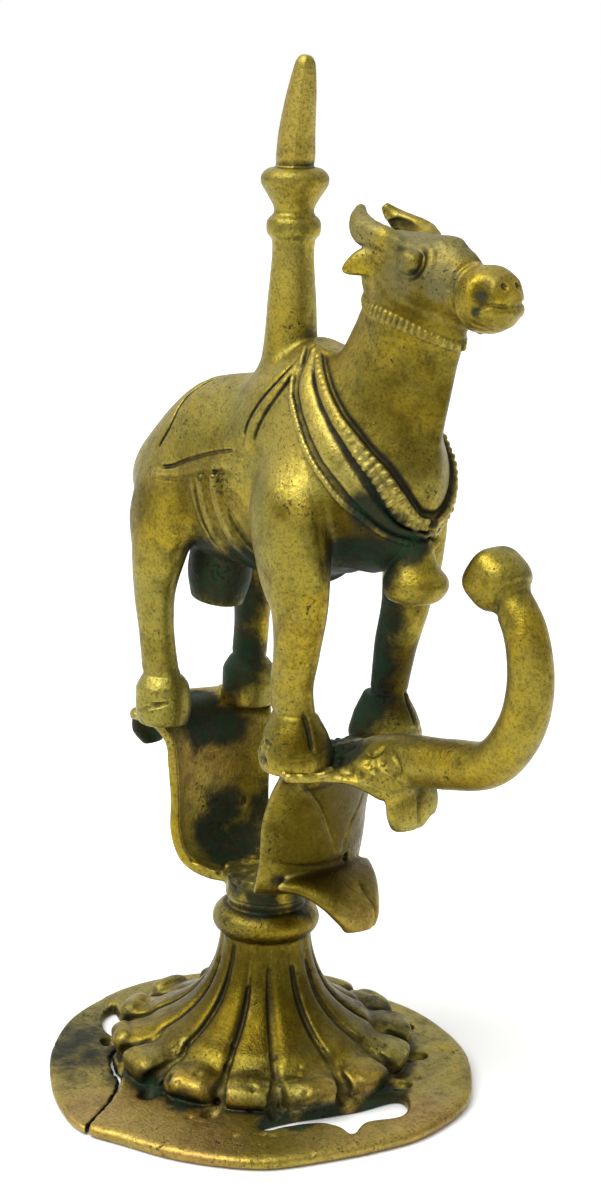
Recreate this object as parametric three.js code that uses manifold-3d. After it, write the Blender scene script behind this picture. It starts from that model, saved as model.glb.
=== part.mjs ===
// A household Nandi: a small brass bull standing on the broken lotus cage of its stand.
// Millimetres, +Z up. The bull looks along +X, and its left side is +Y.
// The whole work is one lost-wax casting, so every form below is joined into one solid.
import * as THREE from 'three';
import { mergeVertices } from 'three/addons/utils/BufferGeometryUtils.js';
import Module from 'manifold-3d';

const wasm = await Module();
wasm.setup();

// The axis of the lotus foot, measured from the middle of the whole outline.
const FOOT_AXIS = [-14.96, 5.62];

// Base plate: a hand-cut disc with a wavy rim, given as [degrees, radius] about the foot axis.
const PLATE_THICK = 3;
const PLATE_EDGE = 0.9;
const RIM_STEPS = 30;
const HOLE_STEPS = 18;
const PLATE_RIM = [
  [0, 48.4], [20, 47.8], [34, 45.6], [50, 43.7], [68, 41.5], [84, 40], [100, 38.2], [120, 39], [150, 42.2],
  [178, 44.3], [205, 45], [228, 45.2], [246, 46.6], [260, 49], [272, 51], [284, 49.4], [300, 49.6],
  [318, 50], [334, 48], [347, 47.8],
];
const FRONT_HOLE = [[24.8, -24.1], [26, -15.8], [28.4, -10], [31.4, -1.9], [33.8, 7.3], [36.8, 6.8],
  [41.5, 1], [38.9, -7.2], [40.6, -12.4], [36.9, -12.2], [33.1, -14.1], [29.9, -20.7], [28.6, -24.8]];
const BACK_HOLE = [[-38, -11], [-34, -12.5], [-29, -14], [-25.5, -17.5], [-27.5, -20], [-32, -18.5],
  [-36.5, -15]];

// The crack that frees the left wing of the plate, and how far that wing lies below the rest.
const CRACK = [[-23, -19], [-17, -27.6], [-8.8, -31.7], [-3, -38], [3.3, -48.5], [6.6, -56]];
const CRACK_WIDTH = 0.7;
const WING_DROP = 0.8;
const WING_REACH = [[-60, -60], [-60, -2]];

// Lotus foot: fourteen petals that run down from the neck and end in rounded tips.
const PETALS = 14;
const PETAL_TURN = -47.5;
const PETAL_STEPS = 4;
const PETAL_TOP = [
  [9.4, 31.4], [10, 25], [13.2, 18], [19.4, 12.6], [26, 9.4], [31.2, 7.2], [31.8, 4.8],
];
const PETAL_GROOVE = [0.5, 0.9, 1.2, 1.4, 1.7, 2.4, 2.6];
const PETAL_TUCK = [[0.95, 3.2], [0.8, 1]];
const HOLLOW_SIDES = 14;
const FOOT_HOLLOW = [[23, -1], [22, 4], [16, 8.5], [11, 13.5], [7.4, 20], [5.2, 26]];

// Neck ring above the foot, and the hub that rises through it as [radius, height].
const RING_CENTRE = 33.2;
const RING_TUBE = 3;
const RING_RADIUS = 8.3;
const RING_TUBE_SIDES = 6;
const RING_SIDES = 18;
const HUB = [[7, 30.2], [7.4, 35.4], [8.6, 38.4], [8.4, 41], [9.6, 43.4]];

// Lotus cage: the two barrel walls that are left of it, each [radius, height, half angle].
const WALL_THICK = 2.0;
const WALL_STEPS = 6;
const WALL_ROWS = 8;
const REAR_WALL = [[6, 41, 46], [12, 41.4, 44], [17.4, 44, 42], [19.8, 49, 40], [20.2, 56, 39],
  [20.6, 64, 40], [21.6, 70, 40], [25, 73.6, 39], [31, 74.2, 34]];
const FRONT_WALL = [
  [6, 42.6, 55], [12, 43.6, 54], [17.4, 46.2, 50], [19, 52, 47], [19.6, 60, 46],
  [21, 66, 42], [24, 71.6, 37], [28, 73.6, 38], [32, 74, 36],
];

// Drooping lotus lips, as stations of a flat loft in the bull's middle plane.
const FRONT_LIP = [
  { at: [29, 0, 73.4], wide: 11.4, deep: 1.6 },
  { at: [34.6, 0.3, 73], wide: 9.2, deep: 2 },
  { at: [39.8, 0.9, 70.6], wide: 6.8, deep: 2.1 },
  { at: [41.4, -0.3, 67], wide: 5.9, deep: 2.1 },
  { at: [41.2, -0.3, 64.4], wide: 3.8, deep: 1.5 },
];
const REAR_LIP = [
  { at: [-28, 0, 73.4], wide: 9.6, deep: 1.6 },
  { at: [-33, 0, 72.8], wide: 8, deep: 2 },
  { at: [-37, 0, 70], wide: 6.6, deep: 2.1 },
  { at: [-38.8, 0, 65.4], wide: 5.2, deep: 2.1 },
  { at: [-38.4, 0, 62], wide: 2.4, deep: 1.4 },
];
const LOWER_LIP = [
  { at: [17.6, 0, 47.2], wide: 11.4, deep: 1.8 },
  { at: [21.4, 0, 46.8], wide: 9.2, deep: 2.2 },
  { at: [25.2, 0, 44.8], wide: 7.6, deep: 2.3 },
  { at: [27.8, 0, 41.4], wide: 5.4, deep: 2 },
  { at: [28.4, 0, 38.4], wide: 3, deep: 1.4 },
];

// Spilled brass that fills the gap between the forehooves.
const SPILL = [
  { at: [22, -9, 73.6], wide: 4, deep: 4.6 },
  { at: [22.6, -3, 73.8], wide: 4.6, deep: 3.8 },
  { at: [22.4, 3, 73.6], wide: 4.4, deep: 3.2 },
  { at: [22, 9, 73.4], wide: 4, deep: 4 },
];

// Hook arm that rises from the front lip and ends in a lotus bud turned to the bull.
const ARM = [
  { at: [24, 0, 75.5], wide: 2.4, deep: 1.6 },
  { at: [31, 0, 77], wide: 4.4, deep: 3.4 },
  { at: [40, 0, 78], wide: 5.2, deep: 4.9 },
  { at: [52, 0, 79.8], wide: 5, deep: 4.9 },
  { at: [62, 0, 82.8], wide: 4.8, deep: 4.5 },
  { at: [68.4, 0, 91], wide: 4.7, deep: 4.5 },
  { at: [70.2, 0, 100], wide: 4.4, deep: 4.4 },
  { at: [68.2, 0, 109.4], wide: 4.1, deep: 4.1 },
  { at: [63.4, 0, 116], wide: 3.7, deep: 3.7 },
];
const BUD = [
  { at: [65.2, 0, 114.6], wide: 3.4, deep: 3.4 },
  { at: [63, 0, 116.6], wide: 5.8, deep: 6 },
  { at: [60, 0, 118.6], wide: 6.8, deep: 6.8 },
  { at: [57, 0, 120.6], wide: 4.8, deep: 4.8 },
  { at: [54.8, 0, 122], wide: 1.6, deep: 1.6 },
];

// Bull. Stations run along the spine of each form; wide is across the bull and deep is upright.
const TORSO = [
  { at: [-37, 0, 120.4], wide: 3, deep: 4 },
  { at: [-35.2, 0, 120.8], wide: 8.4, deep: 8 },
  { at: [-28.6, 0, 123.2], wide: 12.2, deep: 12.2 },
  { at: [-15, 0, 127], wide: 13.8, deep: 19 },
  { at: [0, 0, 128.8], wide: 13.4, deep: 20.2 },
  { at: [12, 0, 131.6], wide: 14, deep: 23.4 },
  { at: [22, 0, 131.2], wide: 14.6, deep: 22.4 },
  { at: [32.6, 0, 126.6], wide: 12.4, deep: 17 },
  { at: [38.6, 0, 122], wide: 6.4, deep: 9.4 },
  { at: [41, 0, 120.4], wide: 3, deep: 4.6 },
];
const HUMP = [
  { at: [8, 0, 146], wide: 4, deep: 4 },
  { at: [12.6, 0, 151.6], wide: 5, deep: 5 },
  { at: [14.6, 0, 155.2], wide: 3.6, deep: 3.4 },
];
const NECK = [
  { at: [20, 0, 119], wide: 9, deep: 11, keel: 0.4 },
  { at: [26.6, 0, 130], wide: 12, deep: 16, keel: 0.5 },
  { at: [31.2, 0, 145], wide: 10, deep: 14.3, keel: 0.5 },
  { at: [35.8, 0, 157.6], wide: 8, deep: 12.4, keel: 0.4 },
  { at: [39.2, 0, 167], wide: 7, deep: 11.6, keel: 0.2 },
];

// Head, straight ahead and tipped a little down, with a ball of a muzzle. Horns, ears and eyes
// are given for the left side.
const HEAD = [
  { at: [26.5, 0, 173], wide: 3, deep: 4 },
  { at: [29, 0, 172.4], wide: 6, deep: 6.8 },
  { at: [35, 0, 171.2], wide: 7.2, deep: 7.8 },
  { at: [42, 0, 170.4], wide: 7.1, deep: 8.4 },
  { at: [47.2, 0, 169.6], wide: 5.9, deep: 7.8 },
  { at: [52, 0, 168.2], wide: 4.6, deep: 5 },
  { at: [54, 0, 168], wide: 4, deep: 4.2 },
];
const MUZZLE = [
  { at: [51.6, 0, 168.4], wide: 4.2, deep: 4.4 },
  { at: [53, 0, 168.4], wide: 5.6, deep: 5.8 },
  { at: [56.4, 0, 168.3], wide: 6.1, deep: 6.2 },
  { at: [60, 0, 168.2], wide: 4.8, deep: 5 },
  { at: [61.6, 0, 168.2], wide: 2.2, deep: 2.4 },
];
const HORN = [
  { at: [37.6, 3.2, 175.4], wide: 2.6, deep: 2.4 },
  { at: [34, 5.4, 177.4], wide: 3, deep: 2.5 },
  { at: [29.6, 6, 178.8], wide: 2.8, deep: 2.5 },
  { at: [26.6, 4.6, 180.8], wide: 2, deep: 1.9 },
  { at: [25.2, 3, 183], wide: 0.8, deep: 0.8 },
];
const EAR = [
  { at: [33.6, 5, 173.6], wide: 3, deep: 1.7 },
  { at: [30.6, 7.6, 173], wide: 2.6, deep: 1.5 },
  { at: [28.4, 9.4, 171.8], wide: 1.2, deep: 1 },
  { at: [27.8, 9.9, 171.4], wide: 0.5, deep: 0.5 },
];
const EYE_AT = [42.3, 6.3, 173.2];
const EYE_RADIUS = 2.2;

// The legs of the two sides differ, as they were modelled by eye. Hooves are given for the left side.
const LEFT_FORELEG = [
  { at: [20, 9, 136], wide: 4, deep: 6 },
  { at: [23, 14.4, 125], wide: 5.8, deep: 9 },
  { at: [24, 15.4, 114], wide: 4.9, deep: 7.4 },
  { at: [23.6, 14.6, 104], wide: 4.3, deep: 5.4 },
  { at: [22, 13.8, 95], wide: 4, deep: 4.6 },
  { at: [21.4, 12.8, 85], wide: 3.6, deep: 4 },
  { at: [21, 12.4, 80], wide: 4, deep: 4.4 },
];
const RIGHT_FORELEG = [
  { at: [17, -9, 136], wide: 4, deep: 6 },
  { at: [18.8, -13.4, 126], wide: 5.8, deep: 9.8 },
  { at: [22, -14.6, 114], wide: 5.2, deep: 8.8 },
  { at: [23.6, -14.6, 107], wide: 4.6, deep: 6.6 },
  { at: [22.6, -14, 99], wide: 4.1, deep: 5.2 },
  { at: [20.4, -13, 90], wide: 3.8, deep: 4.6 },
  { at: [21.2, -12.4, 80], wide: 4.2, deep: 4.8 },
];
const RIGHT_HIND_LEG = [
  { at: [-17.6, -7.5, 126], wide: 5, deep: 8 },
  { at: [-21.6, -10.6, 118], wide: 5.4, deep: 9.6 },
  { at: [-22.8, -11.8, 109], wide: 4.6, deep: 6.8 },
  { at: [-23.4, -12.2, 101], wide: 3.9, deep: 5 },
  { at: [-22.4, -12.2, 91], wide: 3.4, deep: 4.1 },
  { at: [-20.9, -12, 82], wide: 3.6, deep: 4 },
];
const LEFT_HIND_LEG = [
  { at: [-16.6, 7.5, 126], wide: 5, deep: 8 },
  { at: [-20, 11, 118], wide: 5.4, deep: 9.4 },
  { at: [-20.8, 12.6, 109], wide: 4.6, deep: 6.6 },
  { at: [-20.8, 13, 101], wide: 4, deep: 5 },
  { at: [-20.8, 12.8, 91], wide: 3.5, deep: 4.2 },
  { at: [-20.6, 12, 82], wide: 3.6, deep: 4 },
];
const FORE_HOOF = [
  { at: [20.8, 12.4, 85], wide: 4, deep: 4.6 },
  { at: [21, 12.4, 80.6], wide: 6.4, deep: 6.6 },
  { at: [21.2, 12.4, 76.6], wide: 7.4, deep: 7.8 },
  { at: [21.2, 12.4, 73.6], wide: 6.6, deep: 7 },
];
const HIND_HOOF = [
  { at: [-20.8, 12, 84], wide: 3.6, deep: 4 },
  { at: [-20.6, 12, 81], wide: 5.4, deep: 5.8 },
  { at: [-20.2, 12, 76.6], wide: 5.8, deep: 5.9 },
  { at: [-20.2, 12, 73.4], wide: 5.2, deep: 5.2 },
];
const SHEATH = [
  { at: [-15.4, 0, 112], wide: 5.6, deep: 7.6 },
  { at: [-16.8, 0, 105], wide: 6, deep: 7.6 },
  { at: [-17.6, 0, 98.8], wide: 5, deep: 6.2 },
];
const TAIL = [
  { at: [-34, 0, 131], wide: 1.8, deep: 1.6 },
  { at: [-37, 0, 125], wide: 1.8, deep: 1.6 },
  { at: [-36.6, 0, 114], wide: 1.7, deep: 1.6 },
  { at: [-35.2, 0, 106], wide: 2.3, deep: 2 },
  { at: [-34.8, 0, 101], wide: 0.9, deep: 0.9 },
];

// Bell on the chest, as [radius, height].
const BELL_X = 39.8;
const BELL = [[2.6, 109.2], [5, 110], [6, 112], [5.9, 113.8], [4.8, 116], [3.8, 118.4],
  [3.4, 121.4]];
const BELL_SIDES = 10;

// Raised cords, given on the bull's right side and mirrored: three garlands from the withers to the
// bell, the collar under the head, and the ribs of the girth strap. Each point is pressed on to the
// skin, straight towards its core.
const CHEST_CORE = [22, 0, 134];
const NAPE_CORE = [38, 0, 163];
const BELLY_CORE = [-6, 0, 127];
const GARLANDS = [
  { radius: 1.3, core: CHEST_CORE, points: [[12.8, -3.4, 153.8], [13.5, -5.1, 152.7], [16.4, -10.7, 146.2],
    [24.6, -13.4, 136.8], [32.1, -12.3, 129.4], [38, -7.6, 123.9], [41, 0.4, 121.4]] },
  { radius: 1.3, core: CHEST_CORE, points: [[14.8, -3.2, 154], [15.8, -5.1, 152.6], [21.3, -11.4, 145.1],
    [28.7, -12.6, 137.3], [35.8, -10.8, 130.2], [39.4, -6.8, 124.1], [42, 0.4, 122.4]] },
  { radius: 1.1, core: CHEST_CORE, points: [[16.5, -4.2, 153.1], [24.6, -9.1, 147.5], [32.8, -10.6, 140.4],
    [38.4, -8.9, 134.7], [41.4, -6.1, 128], [42.4, 0.4, 124]] },
];
const COLLAR = { radius: 0.8, core: NAPE_CORE, points: [[27.6, 0.4, 166.4], [30.1, -5.6, 164.8],
  [35.1, -7.1, 164.2], [42.4, -5.8, 162], [48, -2.4, 159.6], [49.4, 0.4, 159]] };
const GIRTH = [
  { radius: 0.8, core: BELLY_CORE, points: [[-10.3, -13.4, 127.2], [-9.7, -13.1, 122.8],
    [-8.9, -11.5, 117.6], [-7.8, -8.6, 113.3], [-6.6, -4, 110.4]] },
  { radius: 0.8, core: BELLY_CORE, points: [[-4.4, -13.3, 128.3], [-4, -13.2, 124.2],
    [-3.7, -11.9, 119.5], [-3, -9.1, 114.2], [-0.7, -4.3, 110]] },
];

// Chased lines, cut on both sides: the borders of the saddle cloth and its breast strap.
const LINE_RADIUS = 0.55;
const CLOTH_LINES = [
  [[-14.6, -3, 145.2], [-19.2, -7.7, 141.9], [-20.6, -11.4, 135.9], [-22.6, -13, 128.6]],
  [[-22.4, -13, 128.2], [-15.4, -13.5, 129.3], [-4.7, -13.1, 132.8], [5.3, -13.2, 135.1]],
  [[-21.6, -13.6, 125.2], [-11.9, -13.4, 126.4], [-4.4, -13.3, 129.2], [2.3, -13.2, 129.7]],
  [[12.4, -5.7, 152.5], [10.5, -8.8, 149], [6.7, -11, 143.8], [4.5, -12.9, 136]],
  [[14.4, -6.2, 152], [13, -9.5, 148.2], [9.5, -12, 142.1], [7.8, -13.3, 135.7]],
].map((points) => ({ radius: LINE_RADIUS, core: BELLY_CORE, points }));
const LINE_SIDES = 3;
const CORD_REACH = 5;

// A pressed cord is cut into steps of about this length, and every cord has this many sides.
const CORD_STEP = 7.5;
const CORD_SIDES = 4;
const CORD_ACROSS = [1, 0.2, 0.4];

// Chased lines in the middle: the V of the cage's front wall, the lip slit and the mouth.
const FRONT_LINES = [
  [[21.4, -8, 67.6], [20.3, -3, 60.4], [20.1, 0.3, 53.8]],
  [[20.4, 8.4, 66], [20, 5.1, 59.3], [20, 1, 53.6]],
  [[27.6, 2, 47.4], [29.6, 2.2, 44], [30, 2.4, 39.6]],
  [[55.6, -6, 167.4], [59, -4.9, 167.8], [61.8, 0, 168.2], [59, 4.9, 167.8], [55.6, 6, 167.4]],
];

// Cleft down the front of a forehoof, on the left side.
const FORE_CLEFT = [[26, 12.6, 84.6], [28.6, 12.8, 80.4], [29, 13, 75]];

// Lamp stem on the withers, as [radius, height]: a flared shaft, a collar and a cup.
const STEM_X = 3.5;
const STEM = [[8.4, 143], [6.6, 149], [5.7, 153], [4.9, 163], [4.3, 175], [5.2, 176.2], [5.2, 178.8],
  [4, 180.2], [4.1, 181.4], [5.6, 184], [6.7, 186], [6.5, 187.6], [5, 188.8], [3, 188.9]];
const STEM_SIDES = 10;

// Faceted spike above the cup, as [height, half width, lean towards the head].
const SPIKE = [[188.4, 3.6, -0.4], [191, 3.9, -0.1], [195, 3.7, 0.1], [203, 3, 1.3], [208.8, 2, 2.2],
  [210, 1.1, 2.4]];

// Steps along each form and sides around it.
const BODY_CUT = { steps: 10, sides: 16 };
const NECK_CUT = { steps: 8, sides: 12 };
const HEAD_CUT = { steps: 8, sides: 10 };
const LIP_CUT = { steps: 6, sides: 10 };
const SPILL_CUT = { steps: 4, sides: 8, across: [1, 0, 0] };
const ARM_CUT = { steps: 13, sides: 8 };
const FORELEG_CUT = { steps: 8, sides: 9 };
const HIND_LEG_CUT = { steps: 6, sides: 9 };
const HOOF_CUT = { steps: 4, sides: 10 };
const HORN_CUT = { steps: 6, sides: 8, across: [1, 0, 0] };
const EAR_CUT = { steps: 4, sides: 6, across: [0, 0, 1] };
const TAIL_CUT = { steps: 6, sides: 6 };
const SMALL_CUT = { steps: 4, sides: 8 };
const SPIKE_CUT = { steps: 8, sides: 8 };

const degrees = THREE.MathUtils.degToRad;
const vector = (list) => new THREE.Vector3(...list);

function signedVolume(place, order) {
  const [a, b, c] = [new THREE.Vector3(), new THREE.Vector3(), new THREE.Vector3()];
  let volume = 0;
  for (let i = 0; i < order.length; i += 3) {
    a.fromBufferAttribute(place, order[i]);
    b.fromBufferAttribute(place, order[i + 1]);
    c.fromBufferAttribute(place, order[i + 2]);
    volume += a.dot(b.cross(c)) / 6;
  }
  return volume;
}

// A closed geometry as a solid, with shared corners joined and its faces pointing out.
function solidOf(geometry) {
  const bare = new THREE.BufferGeometry();
  bare.setAttribute('position', geometry.getAttribute('position').clone());
  bare.setIndex(geometry.getIndex() ?? [...Array(geometry.getAttribute('position').count).keys()]);
  const joined = mergeVertices(bare, 1e-4);
  const place = joined.getAttribute('position');
  const index = joined.getIndex().array;
  const order = [];
  for (let i = 0; i < index.length; i += 3) {
    const [a, b, c] = [index[i], index[i + 1], index[i + 2]];
    if (a !== b && b !== c && c !== a) {
      order.push(a, b, c);
    }
  }
  if (signedVolume(place, order) < 0) {
    order.reverse();
  }
  return new wasm.Manifold(new wasm.Mesh({
    numProp: 3,
    vertProperties: Float32Array.from(place.array),
    triVerts: Uint32Array.from(order),
  }));
}

function geometryOf(solid) {
  const mesh = solid.getMesh();
  const geometry = new THREE.BufferGeometry();
  geometry.setAttribute('position', new THREE.BufferAttribute(mesh.vertProperties, 3));
  geometry.setIndex(new THREE.BufferAttribute(mesh.triVerts, 1));
  return geometry;
}

function joinAll(solids) {
  return solids.reduce((whole, solid) => whole.add(solid));
}

// Skin over rings that have the same number of points, closed by a fan at each end.
function skin(rings) {
  const sides = rings[0].length;
  const last = (rings.length - 1) * sides;
  const order = [];
  for (let ring = 0; ring < last; ring += sides) {
    const above = ring + sides;
    for (let side = 0; side < sides; side += 1) {
      const next = (side + 1) % sides;
      order.push(ring + side, ring + next, above + side);
      order.push(ring + next, above + next, above + side);
    }
  }
  for (let side = 1; side + 1 < sides; side += 1) {
    order.push(0, side + 1, side);
    order.push(last, last + side, last + side + 1);
  }
  const geometry = new THREE.BufferGeometry().setFromPoints(rings.flat());
  geometry.setIndex(order);
  return solidOf(geometry);
}

// Loft of oval sections square to a smooth spine. The keel draws a section to an edge in front.
function loft(stations, { steps, sides, across = [0, 1, 0] }) {
  const spine = new THREE.CatmullRomCurve3(stations.map((s) => vector(s.at)));
  const ovals = stations.map((s) => vector([s.wide, s.deep, s.keel ?? 0]));
  const sizes = new THREE.CatmullRomCurve3(ovals);
  const rings = [];
  for (let step = 0; step <= steps; step += 1) {
    const t = step / steps;
    const along = spine.getTangent(t);
    const side = vector(across).projectOnPlane(along).normalize();
    const up = along.clone().cross(side);
    const size = sizes.getPoint(t);
    const ring = [];
    for (let k = 0; k < sides; k += 1) {
      const angle = (2 * Math.PI * (k + 0.5)) / sides;
      const narrowing = 1 - size.z * Math.max(0, -Math.sin(angle));
      const point = spine.getPoint(t);
      point.addScaledVector(side, size.x * Math.cos(angle) * narrowing);
      point.addScaledVector(up, size.y * Math.sin(angle));
      ring.push(point);
    }
    rings.push(ring);
  }
  return skin(rings);
}

// The same stations on the other side of the bull's middle plane.
function mirrored(stations) {
  return stations.map((s) => ({ ...s, at: [s.at[0], -s.at[1], s.at[2]] }));
}

function bothSides(stations, options) {
  return [loft(stations, options), loft(mirrored(stations), options)];
}

// A round cord through points on the surface. Half of it is sunk, so it also serves to cut a line.
function cord(points, radius, sides = CORD_SIDES) {
  const stations = points.map((at) => ({ at, wide: radius, deep: radius }));
  return loft(stations, { steps: points.length - 1, sides, across: CORD_ACROSS });
}

// A smooth run through points, pressed on to the skin of a body along lines to its core.
function pressed(points, core, body) {
  const run = new THREE.CatmullRomCurve3(points.map(vector));
  const steps = Math.round(run.getLength() / CORD_STEP);
  return run.getSpacedPoints(steps).map((at) => {
    const inward = vector(core).sub(at).normalize();
    const start = at.clone().addScaledVector(inward, -CORD_REACH);
    const [hit] = new THREE.Raycaster(start, inward).intersectObject(body);
    return (hit ? hit.point : at).toArray();
  });
}

function cordOnBothSides({ points, core, radius }, body, sides) {
  const near = pressed(points, core, body);
  return [cord(near, radius, sides), cord(pressed(otherSide(points), core, body), radius, sides)];
}

function otherSide(points) {
  return points.map(([x, y, z]) => [x, -y, z]);
}

// A turned form about a vertical axis, from [radius, height] going up.
function turned(profile, sides) {
  const points = profile.map(([radius, height]) => new THREE.Vector2(radius, height));
  points.unshift(new THREE.Vector2(0, profile[0][1]));
  points.push(new THREE.Vector2(0, profile.at(-1)[1]));
  return solidOf(new THREE.LatheGeometry(points, sides).rotateX(Math.PI / 2));
}

// A bent sheet between two grids of points that have the same rows and columns.
function sheet(outer, inner) {
  const rings = outer.map((row, i) => [...row, ...inner[i].slice().reverse()]);
  const [rows, columns] = [outer.length, outer[0].length];
  const order = [];
  const sides = 2 * columns;
  const corner = (row, side) => row * sides + (side % sides);
  for (let row = 0; row + 1 < rows; row += 1) {
    for (let side = 0; side < sides; side += 1) {
      order.push(corner(row, side), corner(row, side + 1), corner(row + 1, side));
      order.push(corner(row, side + 1), corner(row + 1, side + 1), corner(row + 1, side));
    }
  }
  for (const [row, flip] of [[0, true], [rows - 1, false]]) {
    for (let k = 0; k + 1 < columns; k += 1) {
      const [left, right] = [sides - 1 - k, sides - 2 - k];
      const quad = [corner(row, k), corner(row, k + 1), corner(row, right), corner(row, left)];
      if (flip) {
        quad.reverse();
      }
      order.push(quad[0], quad[1], quad[2], quad[0], quad[2], quad[3]);
    }
  }
  const geometry = new THREE.BufferGeometry().setFromPoints(rings.flat());
  geometry.setIndex(order);
  return solidOf(geometry);
}

// Smooth closed outline through [x, y] points.
function smoothOutline(points, steps) {
  const curve = new THREE.CatmullRomCurve3(points.map(([x, y]) => vector([x, y, 0])), true);
  return curve.getPoints(steps).slice(0, steps).map((p) => new THREE.Vector2(p.x, p.y));
}

function polar([angle, radius]) {
  return [radius * Math.cos(degrees(angle)), radius * Math.sin(degrees(angle))];
}

function basePlate() {
  const rim = new THREE.Shape(smoothOutline(PLATE_RIM.map(polar), RIM_STEPS));
  const plate = new THREE.ExtrudeGeometry(rim, {
    depth: PLATE_THICK - 2 * PLATE_EDGE,
    bevelThickness: PLATE_EDGE,
    bevelSize: PLATE_EDGE,
    bevelOffset: -PLATE_EDGE,
    bevelSegments: 1,
  });
  plate.translate(0, 0, PLATE_EDGE);
  const holes = [FRONT_HOLE, BACK_HOLE].map((outline) => upright(smoothOutline(outline, HOLE_STEPS)));
  return holes.reduce((left, hole) => left.subtract(hole), solidOf(plate));
}

// An upright cutter with the given outline, three plates tall.
function upright(outline, bottom = -PLATE_THICK) {
  const cutter = new THREE.ExtrudeGeometry(new THREE.Shape(outline), {
    depth: 3 * PLATE_THICK,
    bevelEnabled: false,
  });
  return solidOf(cutter.translate(0, 0, bottom));
}

// The broken wing of the plate lies lower, behind an open crack.
function breakPlate(plate) {
  const near = CRACK.map(([x, y]) => new THREE.Vector2(x, y));
  const far = near.map((p) => new THREE.Vector2(p.x - CRACK_WIDTH, p.y)).reverse();
  const reach = WING_REACH.map(([x, y]) => new THREE.Vector2(x, y));
  const lowered = upright([...near, ...reach], PLATE_THICK - WING_DROP);
  return plate.subtract(lowered).subtract(upright([...near, ...far]));
}

function lotusFoot() {
  const columns = PETALS * PETAL_STEPS;
  const rings = PETAL_TOP.map(([radius, height], row) => {
    const ring = [];
    for (let k = 0; k < columns; k += 1) {
      const across = (2 * (k % PETAL_STEPS)) / PETAL_STEPS - 1;
      const groove = PETAL_GROOVE[row] * Math.abs(across) ** 3;
      const angle = degrees(PETAL_TURN) + (2 * Math.PI * (k - PETAL_STEPS / 2)) / columns;
      const reach = radius - groove;
      ring.push(new THREE.Vector3(reach * Math.cos(angle), reach * Math.sin(angle), height - groove / 3));
    }
    return ring;
  });
  const tips = rings.at(-1);
  for (const [reach, height] of PETAL_TUCK) {
    rings.push(tips.map((p) => new THREE.Vector3(p.x * reach, p.y * reach, height)));
  }
  return skin(rings);
}

// One barrel wall of the cage, from its floor at the hub up to the ledge under two hooves.
function cageWall(profile, facing) {
  const curve = new THREE.CatmullRomCurve3(profile.map(vector));
  const rows = WALL_ROWS;
  const grids = [[], []];
  for (let row = 0; row <= rows; row += 1) {
    const at = curve.getPoint(row / rows);
    const along = curve.getTangent(row / rows);
    const normal = new THREE.Vector2(along.y, -along.x).normalize();
    grids.forEach((grid, side) => {
      const offset = (side === 0 ? 0.5 : -0.5) * WALL_THICK;
      const line = [];
      for (let k = 0; k <= WALL_STEPS; k += 1) {
        const angle = degrees(facing + at.z * ((2 * k) / WALL_STEPS - 1));
        const radius = at.x + offset * normal.x;
        const height = at.y + offset * normal.y;
        line.push(new THREE.Vector3(radius * Math.cos(angle), radius * Math.sin(angle), height));
      }
      grid.push(line);
    });
  }
  return sheet(grids[0], grids[1]);
}

// The two eyes, as low bosses on the sides of the head.
function eyes() {
  const [x, y, z] = EYE_AT;
  return [y, -y].map((side) => solidOf(new THREE.SphereGeometry(EYE_RADIUS, 8, 6).translate(x, side, z)));
}

function lampStem() {
  const shaft = turned(STEM, STEM_SIDES).translate([STEM_X, 0, 0]);
  const tapering = SPIKE.map(([height, half, lean]) => ({
    at: [STEM_X + lean, 0, height],
    wide: half,
    deep: half,
  }));
  return [shaft, loft(tapering, SPIKE_CUT)];
}

function headParts() {
  const parts = [loft(HEAD, HEAD_CUT), loft(MUZZLE, LIP_CUT)];
  parts.push(...bothSides(HORN, HORN_CUT));
  parts.push(...bothSides(EAR, EAR_CUT));
  parts.push(...eyes());
  return parts;
}

const foot = [breakPlate(basePlate()), lotusFoot()];
const neckRing = new THREE.TorusGeometry(RING_RADIUS, RING_TUBE, RING_TUBE_SIDES, RING_SIDES);
foot.push(solidOf(neckRing.translate(0, 0, RING_CENTRE)));
foot.push(turned(HUB, RING_SIDES));

const cage = [
  cageWall(REAR_WALL, 177),
  cageWall(FRONT_WALL, 0),
  loft(FRONT_LIP, LIP_CUT),
  loft(REAR_LIP, LIP_CUT),
  loft(LOWER_LIP, LIP_CUT),
  loft(SPILL, SPILL_CUT),
  loft(ARM, ARM_CUT),
  loft(BUD, LIP_CUT),
];

const bull = [
  loft(TORSO, BODY_CUT),
  loft(HUMP, SMALL_CUT),
  loft(NECK, NECK_CUT),
  ...headParts(),
  loft(LEFT_FORELEG, FORELEG_CUT),
  loft(RIGHT_FORELEG, FORELEG_CUT),
  loft(RIGHT_HIND_LEG, HIND_LEG_CUT),
  loft(LEFT_HIND_LEG, HIND_LEG_CUT),
  ...bothSides(FORE_HOOF, HOOF_CUT),
  ...bothSides(HIND_HOOF, HOOF_CUT),
  turned(BELL, BELL_SIDES).translate([BELL_X, 0, 0]),
  loft(SHEATH, SMALL_CUT),
  loft(TAIL, TAIL_CUT),
  ...lampStem(),
];

const bare = joinAll([...foot, ...cage, ...bull]);
const skinOfBull = new THREE.Mesh(geometryOf(bare));
const trappings = [...GARLANDS, COLLAR, ...GIRTH].flatMap((c) => cordOnBothSides(c, skinOfBull));

const chasing = CLOTH_LINES.flatMap((c) => cordOnBothSides(c, skinOfBull, LINE_SIDES));
for (const points of [...FRONT_LINES, FORE_CLEFT, otherSide(FORE_CLEFT)]) {
  chasing.push(cord(points, LINE_RADIUS, LINE_SIDES));
}

const hollow = turned(FOOT_HOLLOW, HOLLOW_SIDES);
const casting = joinAll([bare, ...trappings]).subtract(joinAll([hollow, ...chasing]));

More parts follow.
